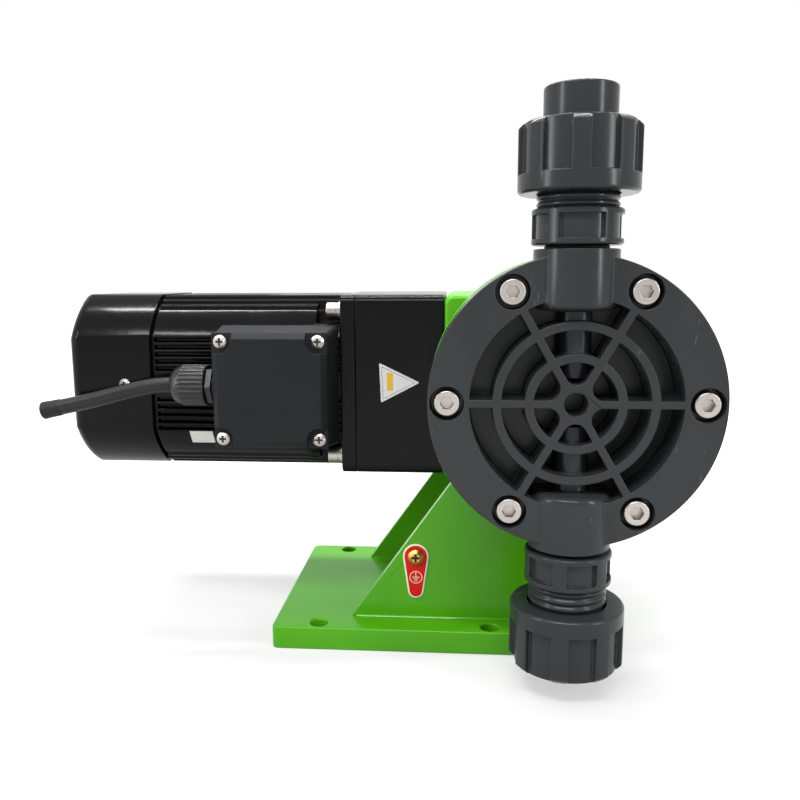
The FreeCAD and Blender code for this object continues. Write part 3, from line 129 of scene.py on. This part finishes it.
class Look:
    """A material being made: its principled shader and the nodes that feed it."""

    def __init__(self, name, constants):
        self.material = bpy.data.materials.new(name)
        self.material.use_nodes = True
        self.tree = self.material.node_tree
        self.shader = self.tree.nodes["Principled BSDF"]
        self.give(constants)

    def give(self, inputs, node=None):
        """Sets or links a node's sockets, named or numbered; the shader's where no node is given."""
        node = node or self.shader
        for key, value in inputs.items():
            socket = node.inputs[key]
            if isinstance(value, Value):
                self.tree.links.new(value.socket, socket)
            elif socket.type == "RGBA":
                socket.default_value = (*value, 1)
            else:
                socket.default_value = value

    def node(self, kind, settings=None, inputs=None, output=0):
        """Any node, from its type, its settings, its sockets' values or links, and the output that is wanted."""
        node = self.tree.nodes.new(kind)
        for key, value in (settings or {}).items():
            setattr(node, key, value)
        self.give(inputs or {}, node)
        return Value(self, node.outputs[output])

    def maths(self, operation, *values):
        return self.node("ShaderNodeMath", {"operation": operation}, dict(enumerate(values)))

    def place(self, stretch=(1, 1, 1)):
        """The piece's own coordinates in metres, stretched along each axis."""
        there = self.node("ShaderNodeTexCoord", output="Object")
        return self.node("ShaderNodeMapping", {}, {"Vector": there, "Scale": stretch})

    def axes(self):
        """The piece's own x, y and z in metres."""
        x = self.node("ShaderNodeSeparateXYZ", {}, {0: self.node("ShaderNodeTexCoord", output="Object")})
        return x, x.other(1), x.other(2)

    def noise(self, scale, detail=2.0, stretch=(1, 1, 1), coarse=0.5):
        """Soft noise from 0 to 1, with about so many features in a metre."""
        return self.node("ShaderNodeTexNoise", {}, {"Vector": self.place(stretch), "Scale": scale,
                                                    "Detail": detail, "Roughness": coarse})

    def stored(self, name):
        """A number that the mesh carries at each point, and 0 where it carries none of that name."""
        return self.node("ShaderNodeAttribute", {"attribute_name": name}, output="Fac")

    def between(self, value, low, high):
        """0 up to low and 1 from high on, with a soft step between them."""
        return self.node("ShaderNodeMapRange", {"interpolation_type": "SMOOTHSTEP"}, {0: value, 1: low, 2: high})

    def mix(self, factor, first, second):
        return self.node("ShaderNodeMix", {"data_type": "RGBA"}, {0: factor, 6: first, 7: second}, 2)

    def specks(self, scale, size, share):
        """Sparse round specks: the middle of a random cell, in the given share of all cells. Which cells is told
        by their random colour, which a product with 1 makes a number."""
        near = self.node("ShaderNodeTexVoronoi", {}, {"Vector": self.place(), "Scale": scale})
        chosen = self.between(near.other(1) * 1.0, 1 - share, 1.02 - share)
        return (1 - self.between(near, size * 0.6, size)) * chosen

    def relief(self, height, distance):
        """Small relief of the surface: the height, 0 to 1, times a distance in metres."""
        self.give({"Normal": self.node("ShaderNodeBump", {}, {"Strength": 1.0, "Distance": distance,
                                                              "Height": height})})


def colour(red, green, blue):
    """A colour in a screen's steps of 0 to 255, as the linear values that a shader takes."""
    levels = np.array((red, green, blue)) / 255
    return tuple(np.where(levels <= 0.04045, levels / 12.92, ((levels + 0.055) / 1.055) ** 2.4).tolist())


# Finishes

def green_enamel():
    """Sprayed enamel: patches of thinner paint, fine orange peel over filler waves, a few dark specks."""
    look = Look("green_enamel", {"Specular IOR Level": 0.22, "Coat Weight": 0.12, "Coat Roughness": 0.05})
    base = look.mix(look.noise(16, 3), colour(60, 144, 3), colour(86, 166, 20))
    dirt = look.specks(230, 0.035, 0.1)
    look.give({"Base Color": look.mix(dirt, base, colour(30, 66, 18)),
               "Roughness": 0.24 + 0.16 * look.noise(38, 3) + 0.2 * dirt})
    look.relief(look.noise(420) + 2.5 * look.noise(65), 0.00003)
    return look.material


def gloss_black():
    """Black gloss paint: shallow waves that bend reflections, fine orange peel and sparse pale dust."""
    look = Look("gloss_black", {"Specular IOR Level": 0.08, "Coat Weight": 0.05, "Coat Roughness": 0.05})
    dust = look.specks(190, 0.03, 0.16)
    base = look.mix(look.noise(20, 3), colour(6, 6, 7), colour(12, 12, 14))
    look.give({"Base Color": look.mix(dust, base, colour(120, 118, 114)),
               "Roughness": 0.08 + 0.13 * look.noise(45, 3) + 0.3 * dust})
    look.relief(look.noise(360) + 3.0 * look.noise(75, 3), 0.00003)
    return look.material


def grey_pvc():
    """Moulded PVC: blasted grain, faint flow bands, and pale scuffs in patches of fine upright scratches."""
    look = Look("grey_pvc", {"Specular IOR Level": 0.2})
    flow = look.noise(20, 4, (1, 1, 0.4))
    scratches = look.between(look.noise(1100, 2, (1, 1, 0.12)), 0.56, 0.7)
    scuffs = look.between(look.noise(48, 5, coarse=0.65), 0.58, 0.74) * scratches
    base = look.mix(flow, colour(32, 34, 36), colour(49, 51, 53))
    look.give({"Base Color": look.mix(scuffs * 0.4, base, colour(120, 122, 124)),
               "Roughness": 0.16 + 0.14 * flow + 0.2 * scuffs})
    look.relief(look.noise(1500) + 1.5 * look.noise(130, 3), 0.00001)
    return look.material


def box_plastic():
    """Satin moulded plastic: a spark-eroded grain and faint wipe marks."""
    look = Look("box_plastic", {"Specular IOR Level": 0.12})
    wipe = look.noise(30, 4, (0.4, 1, 1))
    dust = look.specks(240, 0.03, 0.1)
    base = look.mix(wipe, colour(20, 21, 23), colour(30, 31, 33))
    look.give({"Base Color": look.mix(dust, base, colour(120, 120, 118)), "Roughness": 0.46 + 0.16 * wipe})
    look.relief(look.noise(2400) + 0.8 * look.noise(500), 0.000014)
    return look.material


def black_plastic():
    """Black nylon: smooth with a light grain, greyer where it is rubbed."""
    look = Look("black_plastic", {"Specular IOR Level": 0.35})
    rubbed = look.between(look.noise(90, 5, coarse=0.6), 0.5, 0.8)
    look.give({"Base Color": look.mix(rubbed, colour(16, 16, 17), colour(38, 38, 40)),
               "Roughness": 0.34 + 0.2 * rubbed})
    look.relief(look.noise(1800), 0.000012)
    return look.material


def turned_metal(name, dark, light, roughness, grain=2600, relief=0.000004):
    """Turned or ground metal: fine tool marks, soft tarnish, a roughness that follows both, and painted shade in
    the
    marked recesses: a dark, not metallic colour where the mesh's recess mark is set."""
    look = Look(name, {})
    tarnish = look.noise(70, 5, coarse=0.6)
    marks = look.noise(grain, 2, (1, 0.15, 1))
    # painted shade: dark brown and not metallic on the marked recess floors, where shade falls
    painted_recess_shade = look.between(look.stored("recess"), 0.1, 0.8)
    look.give({"Base Color": look.mix(painted_recess_shade, look.mix(tarnish, dark, light), colour(26, 23, 20)),
               "Roughness": roughness + 0.14 * tarnish + 0.12 * marks + 0.3 * painted_recess_shade, "Metallic": 1 - painted_recess_shade})
    look.relief(marks, relief)
    return look.material


def laminations():
    """A stack of sheets: bands along the shaft half a millimetre apart, each a little lighter or darker."""
    look = Look("lamination", {"Metallic": 0.8})
    x, _, _ = look.axes()
    sheet = look.maths("FRACT", x / 0.0005)
    gap = look.between(abs(sheet - 0.5), 0.36, 0.48)
    look.give({"Base Color": look.mix(gap, colour(124, 124, 128), colour(48, 46, 46)),
               "Roughness": 0.45 + 0.3 * gap})
    look.relief(1 - gap, 0.00005)
    return look.material


def copper_wire():
    """Varnished winding: wires round the shaft's line, in rows 0.9 mm apart, under a shiny varnish."""
    look = Look("copper", {"Metallic": 0.7, "Coat Weight": 0.6, "Coat Roughness": 0.2})
    x, y, z = look.axes()
    radius = look.maths("SQRT", y * y + (z - shaft_height) * (z - shaft_height))
    wire = abs(look.maths("FRACT", (radius + x) / 0.0009) - 0.5)
    look.give({"Base Color": look.mix(wire * 2.0, colour(214, 128, 74), colour(120, 56, 28)),
               "Roughness": 0.3 + 0.3 * wire})
    look.relief(1 - 2 * wire, 0.0003)
    return look.material


def soft_rubber(name, dark, light, roughness=0.4):
    """Black rubber or cable sheath: a dull bloom in patches over a fine grain."""
    look = Look(name, {"Specular IOR Level": 0.2})
    bloom = look.noise(110, 5, coarse=0.6)
    look.give({"Base Color": look.mix(bloom, dark, light), "Roughness": roughness + 0.24 * bloom})
    look.relief(look.noise(1300) + 0.6 * look.noise(320), 0.00002)
    return look.material


def white_ptfe():
    """Waxy white: barely mottled, with fine turning marks."""
    look = Look("ptfe", {"Subsurface Weight": 0.1, "Subsurface Radius": (0.002, 0.002, 0.002)})
    mottle = look.noise(120, 3)
    look.give({"Base Color": look.mix(mottle, colour(226, 226, 222), colour(240, 240, 238)),
               "Roughness": 0.42 + 0.1 * mottle})
    look.relief(look.noise(1600), 0.00001)
    return look.material


def polished_ceramic():
    """Polished ball: ivory with faint clouding and hairline marks."""
    look = Look("ceramic", {"Coat Weight": 0.5, "Coat Roughness": 0.05})
    cloud = look.noise(240, 4)
    look.give({"Base Color": look.mix(cloud, colour(214, 210, 200), colour(230, 227, 219)),
               "Roughness": 0.12 + 0.1 * cloud})
    look.relief(look.noise(3000), 0.000002)
    return look.material


def earth_print():
    """Printed label: a cream rim by the distance from its edge, red inside, and the earth sign in cream lines."""
    look = Look("earth_label", {"Specular IOR Level": 0.2})
    x, _, z = look.axes()
    across = abs(x - earth_screw_place[0])
    up = z - earth_sign_height
    radius = look.maths("SQRT", across * across + up * up)
    ring_radius = 0.0036
    line_half, line_end = 0.00016, 0.00024
    ring = 1 - look.between(abs(radius - ring_radius), line_half, line_end)
    stem = (1 - look.between(across, line_half, line_end)) * look.between(up, 0.0001, 0.0002)
    sign = look.maths("MAXIMUM", ring, stem * (1 - look.between(radius, 0.0033, ring_radius)))
    for level, half in ((0.0001, 0.0022), (-0.0010, 0.0014), (-0.0021, 0.0007)):
        row = 1 - look.between(abs(up - level), line_half, line_end)
        bar = row * (1 - look.between(across, half, half + 0.0001))
        sign = look.maths("MAXIMUM", sign, bar)
    inset = look.stored("inset")
    rim = 1 - look.between(inset, 0.00098, 0.00104)
    line = look.between(inset, 0.0010, 0.00106) * (1 - look.between(inset, 0.00135, 0.0015))
    red = look.mix(look.noise(150, 3), colour(192, 12, 12), colour(214, 20, 16))
    print_colour = look.mix(line, red, colour(128, 10, 10))
    cream = look.mix(look.noise(400, 3), colour(240, 228, 200), colour(228, 212, 178))
    look.give({"Base Color": look.mix(look.maths("MAXIMUM", rim, sign), print_colour, cream),
               "Roughness": 0.3 + 0.15 * look.noise(60, 2)})
    look.relief(look.noise(220, 3), 0.00002)
    return look.material


def silver_foil():
    """Foil label: brushed silver, a thin dark line in dashes inside its edge, and one plain yellow bar."""
    look = Look("silver_foil", {"Coat Weight": 0.3, "Coat Roughness": 0.12})
    x, _, z = look.axes()
    inset = look.stored("inset")
    along = look.stored("along")
    dash = look.between(look.maths("FRACT", along / 0.0011), 0.3, 0.36)
    line = (1 - look.between(abs(inset - 0.0014), 0.00014, 0.0002)) * dash
    bar_x, bar_z = -0.0083, 0.1552
    bar = ((1 - look.between(abs(x - bar_x), 0.0018, 0.0019))
           * (1 - look.between(abs(z - bar_z), 0.0052, 0.0053)))
    brush = look.noise(900, 3, (1, 1, 0.06))
    silver = look.mix(brush, colour(178, 178, 178), colour(208, 208, 206))
    printed = look.mix(bar, silver, colour(222, 172, 38))
    look.give({"Base Color": look.mix(line, printed, colour(40, 40, 42)), "Metallic": 0.55 * (1 - bar),
               "Roughness": 0.34 + 0.12 * brush})
    look.relief(brush, 0.000006)
    return look.material


def white_paper():
    """Small paper sticker: off-white with faint fibres and a grey edge."""
    look = Look("white_paper", {})
    fibres = look.noise(1400, 4, (0.5, 1, 1))
    inset = look.stored("inset")
    edge = 1 - look.between(inset, 0.0001, 0.0006)
    paper = look.mix(fibres, colour(238, 238, 234), colour(222, 222, 216))
    look.give({"Base Color": look.mix(edge * 0.5, paper, colour(170, 170, 166)),
               "Roughness": 0.55 + 0.1 * fibres})
    look.relief(fibres, 0.00001)
    return look.material


def make_finishes():
    """One look for each of the part's material slots, and for the small prints."""
    return {
        "green_paint": green_enamel(), "black_paint": gloss_black(), "grey_pvc": grey_pvc(),
        "box_plastic": box_plastic(), "black_plastic": black_plastic(),
        "stainless": turned_metal("stainless", colour(144, 138, 133), colour(182, 176, 170), 0.2),
        "bright_steel": turned_metal("bright_steel", colour(150, 150, 152), colour(196, 196, 198), 0.26),
        "brass": turned_metal("brass", colour(150, 104, 44), colour(226, 178, 98), 0.24),
        "bronze": turned_metal("bronze", colour(134, 92, 48), colour(182, 134, 80), 0.36, 900, 0.00001),
        "copper": copper_wire(), "lamination": laminations(),
        "rubber": soft_rubber("rubber", colour(14, 14, 14), colour(28, 28, 28)),
        "cable_black": soft_rubber("cable_black", colour(22, 22, 23), colour(38, 38, 40), 0.24),
        "ptfe": white_ptfe(), "ceramic": polished_ceramic(), "earth_label": earth_print(),
        "silver_foil": silver_foil(), "white_paper": white_paper(),
    }


# Meshes

def add_piece(name, data, finish, body="root", stands_for=()):
    """A piece with its finish, which rides on a body and hides the solids it stands for."""
    piece = bpy.data.objects.new(name, data)
    bpy.context.scene.collection.objects.link(piece)
    data.materials.clear()
    data.materials.append(finishes[finish])
    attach(piece, body)
    if stands_for:
        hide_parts(*stands_for)
    return piece


def grid_mesh(name, points):
    """A surface through an array of points, with quads between neighbours: each row along v is a closed ring, and
    u goes from the first ring to the last."""
    rows, columns = points.shape[:2]
    u = np.arange(rows - 1)[:, None]
    v = np.arange(columns)[None, :]
    next_u = u + 1
    next_v = (v + 1) % columns
    corners = [u * columns + v, next_u * columns + v, next_u * columns + next_v, u * columns + next_v]
    quads = np.stack(corners, -1).reshape(-1, 4)
    mesh = bpy.data.meshes.new(name)
    mesh.from_pydata(points.reshape(-1, 3).tolist(), [], quads.tolist())
    mesh.polygons.foreach_set("use_smooth", np.ones(len(mesh.polygons), bool))
    return mesh


def close_seams(mesh):
    """Merges the doubled points of a closed surface and turns its faces outwards."""
    work = bmesh.new()
    work.from_mesh(mesh)
    bmesh.ops.remove_doubles(work, verts=work.verts, dist=label_merge)
    bmesh.ops.recalc_face_normals(work, faces=work.faces)
    work.to_mesh(mesh)
    work.free()


def round_edges(node, width, slot):
    """The solid's own shape with rounded edges: its mesh merged, flat faces joined, then each edge bevelled,
    and the large faces kept flat by normals that follow them."""
    mesh = bpy.data.meshes.new(node + "_rounded")
    work = bmesh.new()
    work.from_mesh(frame["nodes"][node].data)
    bmesh.ops.remove_doubles(work, verts=work.verts, dist=solid_merge)
    bmesh.ops.dissolve_limit(work, angle_limit=flat_angle, verts=work.verts, edges=work.edges)
    for face in work.faces:
        face.smooth = True
    for edge in work.edges:
        edge.smooth = True
    work.to_mesh(mesh)
    work.free()
    if "custom_normal" in mesh.attributes:
        mesh.attributes.remove(mesh.attributes["custom_normal"])
    piece = add_piece(node + "_rounded", mesh, slot, body_of[node], [node])
    bevel = piece.modifiers.new("rounded edges", "BEVEL")
    bevel.width = width
    bevel.segments = edge_segments
    bevel.limit_method = "ANGLE"
    bevel.angle_limit = sharp_edge
    bevel.use_clamp_overlap = False
    flat = piece.modifiers.new("flat faces", "WEIGHTED_NORMAL")
    flat.weight = flat_face_weight


def dark_recesses(node, floor):
    """A copy of cross-head screws that marks how deep each point lies in its recess: 1 on the recess's floor,
    which lies so far from the middle plane, and 0 elsewhere. The metal finish paints shade where the mark is set."""
    mesh = frame["nodes"][node].data.copy()
    places = np.empty(len(mesh.vertices) * 3)
    mesh.vertices.foreach_get("co", places)
    reach = np.abs(places.reshape(-1, 3)[:, 1])
    depth = (np.abs(reach - floor) < recess_tolerance).astype(np.float32)
    mesh.attributes.new("recess", "FLOAT", "POINT").data.foreach_set("value", depth)
    # the copy carries painted shade on its recess floors
    add_piece(node + "_painted_shade", mesh, slot_of[node], body_of[node], [node])


# Lead

def end_sleeve(line):
    """A sleeve over the lead's last 11 mm, along its line: rings at right angles to it, 0.3 mm outside the sheath,
    wider by up to 0.35 mm at the cut end as the square of the way along, with both ends rounded over."""
    points = np.array(line)
    lengths = np.concatenate([[0], np.cumsum(np.linalg.norm(np.diff(points, axis=0), axis=1))])
    first, last, rings = 0.0112, 0.0003, 28
    reach = np.linspace(lengths[-1] - first, lengths[-1] - last, rings)
    middles = np.stack([np.interp(reach, lengths, points[:, k]) for k in range(3)], -1)
    along = points[-1] - middles[0]
    along = along / np.linalg.norm(along)
    side = np.cross(along, (0, 0, 1))
    side = side / np.linalg.norm(side)
    above = np.cross(side, along)
    share = np.linspace(0, 1, len(reach))
    narrow, widening = 0.0048, 0.00035
    radii = narrow + widening * share ** 2
    radii[[0, 1, -2, -1]] = lead_radius, 0.00472, radii[-2] - 0.00005, radii[-1] - 0.0003
    radii = np.append(radii, 0.0043)
    middles = np.vstack([middles, middles[-1]])
    turn = np.linspace(0, 2 * math.pi, 48, endpoint=False)
    ring = np.cos(turn)[:, None] * side + np.sin(turn)[:, None] * above
    return grid_mesh("lead_sleeve", middles[:, None, :] + radii[:, None, None] * ring)


def make_lead():
    """The motor lead: one smooth line through the route of its solid, 9 mm thick, with a sleeve at its cut end."""
    start = (-0.1292, -0.0655, 0.1545)
    route = [(-0.1380, -0.0655, 0.1545), (-0.1505, -0.0657, 0.1523), (-0.1640, -0.0662, 0.1490),
             (-0.1785, -0.0668, 0.1452), (-0.1930, -0.0674, 0.1421), (-0.2073, -0.0679, 0.1393)]
    curve = bpy.data.curves.new("motor_lead_sheath", "CURVE")
    curve.dimensions = "3D"
    line = curve.splines.new("NURBS")
    line.points.add(len(route))
    for point, place in zip(line.points, [start] + route):
        point.co = (*place, 1)
    line.order_u = 3
    line.use_endpoint_u = True
    line.resolution_u = 12
    bare = bpy.data.objects.new("bare_line", curve.copy())
    traced = bpy.data.meshes.new_from_object(bare)
    end = add_piece("lead_sleeve", end_sleeve([tuple(vertex.co) for vertex in traced.vertices]), "rubber")
    bpy.data.objects.remove(bare)
    bpy.data.meshes.remove(traced)
    curve.bevel_depth = lead_radius
    curve.bevel_resolution = 8
    curve.use_fill_caps = True
    lead = add_piece("motor_lead_sheath", curve, "cable_black", "root", ["motor_lead"])


# Labels

def label_mesh(name, edge_rows, insets, back, thickness):
    """A thin label facing -y. Each row is the outline drawn in by its inset; the first lies on the surface behind,
    at a place or as a function of height, and the next two round the edge over. Points carry their inset, and the
    length along the outline, in metres."""
    rows = np.array([edge_rows(inset) for inset in insets])
    lift = np.full((len(insets), 1), thickness)
    lift[0] = 0
    lift[1] = thickness * 0.7
    behind = back(rows[..., 1]) if callable(back) else back
    front = np.broadcast_to(behind - lift, rows.shape[:2])
    points = np.stack([rows[..., 0], front, rows[..., 1]], -1)
    mesh = grid_mesh(name, points)
    steps = np.linalg.norm(np.roll(rows[0], -1, 0) - rows[0], axis=1)
    along = np.concatenate([[0], np.cumsum(steps)[:-1]])
    for attribute, values in (("inset", np.repeat(insets, rows.shape[1])), ("along", np.tile(along, len(rows)))):
        mesh.attributes.new(attribute, "FLOAT", "POINT").data.foreach_set("value", values.astype(np.float32))
    return mesh


def drop_outline(inset):
    """A drop: a large arc above and a small one below, joined by their tangents, both radii less the inset."""
    large, small, drop = 0.00765, 0.0047, 0.0209
    tilt = math.asin((large - small) / drop)
    upper = np.linspace(-tilt, math.pi + tilt, 40)
    lower = np.linspace(math.pi + tilt, 2 * math.pi - tilt, 24)
    x0, z0 = earth_screw_place
    rows = []
    for angles, radius, z in ((upper, large, z0), (lower, small, z0 - drop)):
        r = max(radius - inset, 0.0)
        rows.append(np.stack([x0 + r * np.cos(angles), z + r * np.sin(angles)], -1))
    return np.concatenate(rows)


def triangle_outline(corners, rounding, inset):
    """A triangle with rounded corners, shrunk towards its inscribed circle's centre by the inset."""
    corners = np.array(corners)
    sides = np.linalg.norm(np.roll(corners, -1, 0) - np.roll(corners, 1, 0), axis=1)
    middle = (sides[:, None] * corners).sum(0) / sides.sum()
    (ax, az), (bx, bz), (cx, cz) = corners
    inradius = abs((bx - ax) * (cz - az) - (cx - ax) * (bz - az)) / sides.sum()
    centres = middle + (corners - middle) * (1 - rounding / inradius)
    points = []
    for k in range(3):
        before = corners[k] - corners[k - 1]
        after = corners[(k + 1) % 3] - corners[k]
        first, last = (math.atan2(-v[0], v[1]) + math.pi for v in (before, after))
        turn = (last - first + math.pi) % (2 * math.pi) - math.pi
        for angle in first + turn * np.linspace(0, 1, 7):
            points.append(centres[k] + rounding * np.array((math.cos(angle), math.sin(angle))))
        for share in np.linspace(0.12, 0.88, 18):
            points.append(corners[k] + after * share)
    points = np.array(points)
    return middle + (points - middle) * (1 - min(inset / inradius, 1.0))


def oblong_outline(x0, x1, z0, z1, inset):
    """An oblong, drawn in by the inset on each side and no further than its middle."""
    half_x, half_z = (x1 - x0) / 2, (z1 - z0) / 2
    reach_x, reach_z = max(half_x - inset, 0), max(half_z - inset, 0)
    turn = np.linspace(0, 2 * math.pi, 64, endpoint=False)
    shape = np.stack([np.cos(turn), np.sin(turn)], -1)
    square = np.sign(shape) * np.minimum(np.abs(shape) * 1.4, 1)
    return np.array(((x0 + x1) / 2, (z0 + z1) / 2)) + square * (reach_x, reach_z)


def housing_side(height):
    """The motor's front at a height: flat in its middle, and from there a circle about the shaft's line."""
    return np.maximum(motor_front, -np.sqrt(motor_round ** 2 - (height - shaft_height) ** 2))


def make_labels():
    drop = label_mesh("earth_label_print", drop_outline,
                      np.array([0, 0, 0.0001, 0.0009, 0.0011, 0.0015, 0.0030, 0.00765]), bracket_front, 0.0005)
    close_seams(drop)
    add_piece("earth_label_print", drop, "earth_label", "root", ["earth_label"])
    corners = [(-0.0146, 0.1661), (0.0089, 0.1548), (-0.0136, 0.1430)]
    foil = label_mesh("gearbox_label", lambda inset: triangle_outline(corners, 0.0005, inset),
                      np.array([0, 0, 0.0001, 0.0010, 0.0018, 0.0040, 0.02]), frame_front, 0.00015)
    close_seams(foil)
    add_piece("gearbox_label", foil, "silver_foil", "root")
    box = (-0.1274, -0.1134, 0.1172, 0.1251)
    paper = label_mesh("motor_sticker", lambda inset: oblong_outline(*box, inset),
                       np.array([0, 0, 0.0001, 0.0006, 0.0014, 0.0024, 0.0034, 0.01]), housing_side, 0.00016)
    close_seams(paper)
    add_piece("motor_sticker", paper, "white_paper", "root")


# Light

def make_room():
    """A floor that keeps a soft shadow, and a sky, both white to the camera and in gloss and glass; lamps above, in
    front and behind, and an upright strip on each side."""
    floor = bpy.data.meshes.new("floor")
    reach = 6.0
    floor.from_pydata([(-reach, -reach, 0), (reach, -reach, 0), (reach, reach, 0), (-reach, reach, 0)], [],
                      [(0, 1, 2, 3)])
    ground = bpy.data.objects.new("floor", floor)
    bpy.context.scene.collection.objects.link(ground)
    look = Look("floor", {"Base Color": (0.32, 0.32, 0.32), "Roughness": 0.7, "Specular IOR Level": 0.0,
                          "Emission Color": (1, 1, 1)})
    x, y, _ = look.axes()
    away = look.between(look.maths("SQRT", x * x + y * y), 0.15, 0.6)
    camera_ray = look.node("ShaderNodeLightPath", output="Is Camera Ray")
    mirrored = camera_ray.other("Is Glossy Ray")
    seen_through = camera_ray.other("Is Transmission Ray")
    seen = look.maths("MAXIMUM", look.maths("MAXIMUM", camera_ray, mirrored), seen_through)
    near_glow, added_glow = 0.5, 0.6
    look.give({"Emission Strength": seen * (near_glow + added_glow * away)})
    floor.materials.append(look.material)

    world = bpy.data.worlds.new("studio")
    bpy.context.scene.world = world
    world.use_nodes = True
    nodes, links = world.node_tree.nodes, world.node_tree.links
    rays = nodes.new("ShaderNodeLightPath")
    through = nodes.new("ShaderNodeMath")
    through.operation = "MAXIMUM"
    links.new(rays.outputs["Is Glossy Ray"], through.inputs[0])
    links.new(rays.outputs["Is Transmission Ray"], through.inputs[1])
    seen = nodes.new("ShaderNodeMath")
    seen.operation = "MAXIMUM"
    links.new(rays.outputs["Is Camera Ray"], seen.inputs[0])
    links.new(through.outputs[0], seen.inputs[1])
    height = nodes.new("ShaderNodeSeparateXYZ")
    links.new(nodes.new("ShaderNodeTexCoord").outputs["Generated"], height.inputs[0])
    sky = nodes.new("ShaderNodeMapRange")
    sky.interpolation_type = "SMOOTHSTEP"
    low, high, dim, bright = 0.05, 0.8, 0.16, 0.9
    for place, value in enumerate((low, high, dim, bright), start=1):
        sky.inputs[place].default_value = value
    links.new(height.outputs[2], sky.inputs[0])
    level = nodes.new("ShaderNodeMix")
    level.data_type = "FLOAT"
    links.new(seen.outputs[0], level.inputs[0])
    links.new(sky.outputs[0], level.inputs[2])
    level.inputs[3].default_value = 1.0
    background = nodes["Background"]
    background.inputs["Color"].default_value = (1, 1, 1, 1)
    links.new(level.outputs[0], background.inputs["Strength"])

    for name, place, target, size, power in (
            ("top_key", (-0.1, 0.12, 1.45), (-0.08, 0, 0.2), (1.3, 0.06), 25),
            ("front_key", (-0.15, -0.9, 1.35), (0, 0, 0.15), (1.2, 0.14), 17),
            ("back_key", (0.15, 1.0, 1.3), (0, 0, 0.15), (1.2, 0.14), 8),
            ("left_strip", (-1.0, -0.55, 0.55), (-0.05, 0, 0.16), (0.12, 0.9), 7),
            ("right_strip", (1.1, -0.75, 0.55), (0.05, 0, 0.16), (0.12, 0.9), 8)):
        data = bpy.data.lights.new(name, "AREA")
        data.shape = "RECTANGLE"
        data.size, data.size_y = size
        data.energy = power
        lamp = bpy.data.objects.new(name, data)
        lamp.location = place
        lamp.rotation_euler = (Vector(target) - Vector(place)).to_track_quat("-Z", "Y").to_euler()
        bpy.context.scene.collection.objects.link(lamp)


def finish_solids():
    """Gives each solid the finish of its slot."""
    for entry in frame["record"]["subparts"]:
        node = frame["nodes"][entry["node"]]
        for slot in node.material_slots:
            slot.material = finishes[entry["material_slot"]]


make_camera()
body_of = {node: body for body, nodes in frame["record"]["behaviour"]["bodies"].items() for node in nodes}
finishes = make_finishes()
finish_solids()
make_lead()
make_labels()
slot_of = {entry["node"]: entry["material_slot"] for entry in frame["record"]["subparts"]}
edge_widths = {
    "base_plate": 0.0010, "front_bracket": 0.0004, "rear_bracket": 0.0004, "saddle_plate": 0.0006,
    "saddle_screws": 0.0002, "pump_head": 0.0005, "head_bolts": 0.0003,
    "discharge_valve_body": 0.0003, "suction_valve_body": 0.0003, "discharge_union_nut": 0.0005,
    "suction_union_nut": 0.0005, "discharge_tailpiece": 0.0004, "suction_bush": 0.0004,
    "drive_casing": 0.0006, "rear_cover": 0.0006, "cover_screws": 0.0002, "spindle_bush": 0.0003,
    "stroke_knob": 0.0003, "gearbox_body": 0.0005, "motor_flange": 0.0005, "frame_bolts": 0.00025,
    "frame_washers": 0.00012, "motor_housing": 0.0007, "rear_shield": 0.0004, "cooling_fan": 0.0003,
    "fan_cover": 0.0003, "terminal_box": 0.0005, "terminal_lid": 0.0004, "gland_body": 0.0003,
    "gland_nut": 0.0002,
}
for node, width in edge_widths.items():
    round_edges(node, width, slot_of[node])
# cross-head screws with painted shade on their recess floors
for node, floor in recess_floors.items():
    dark_recesses(node, floor)
make_room()
bpy.context.scene.view_settings.view_transform = "Standard"
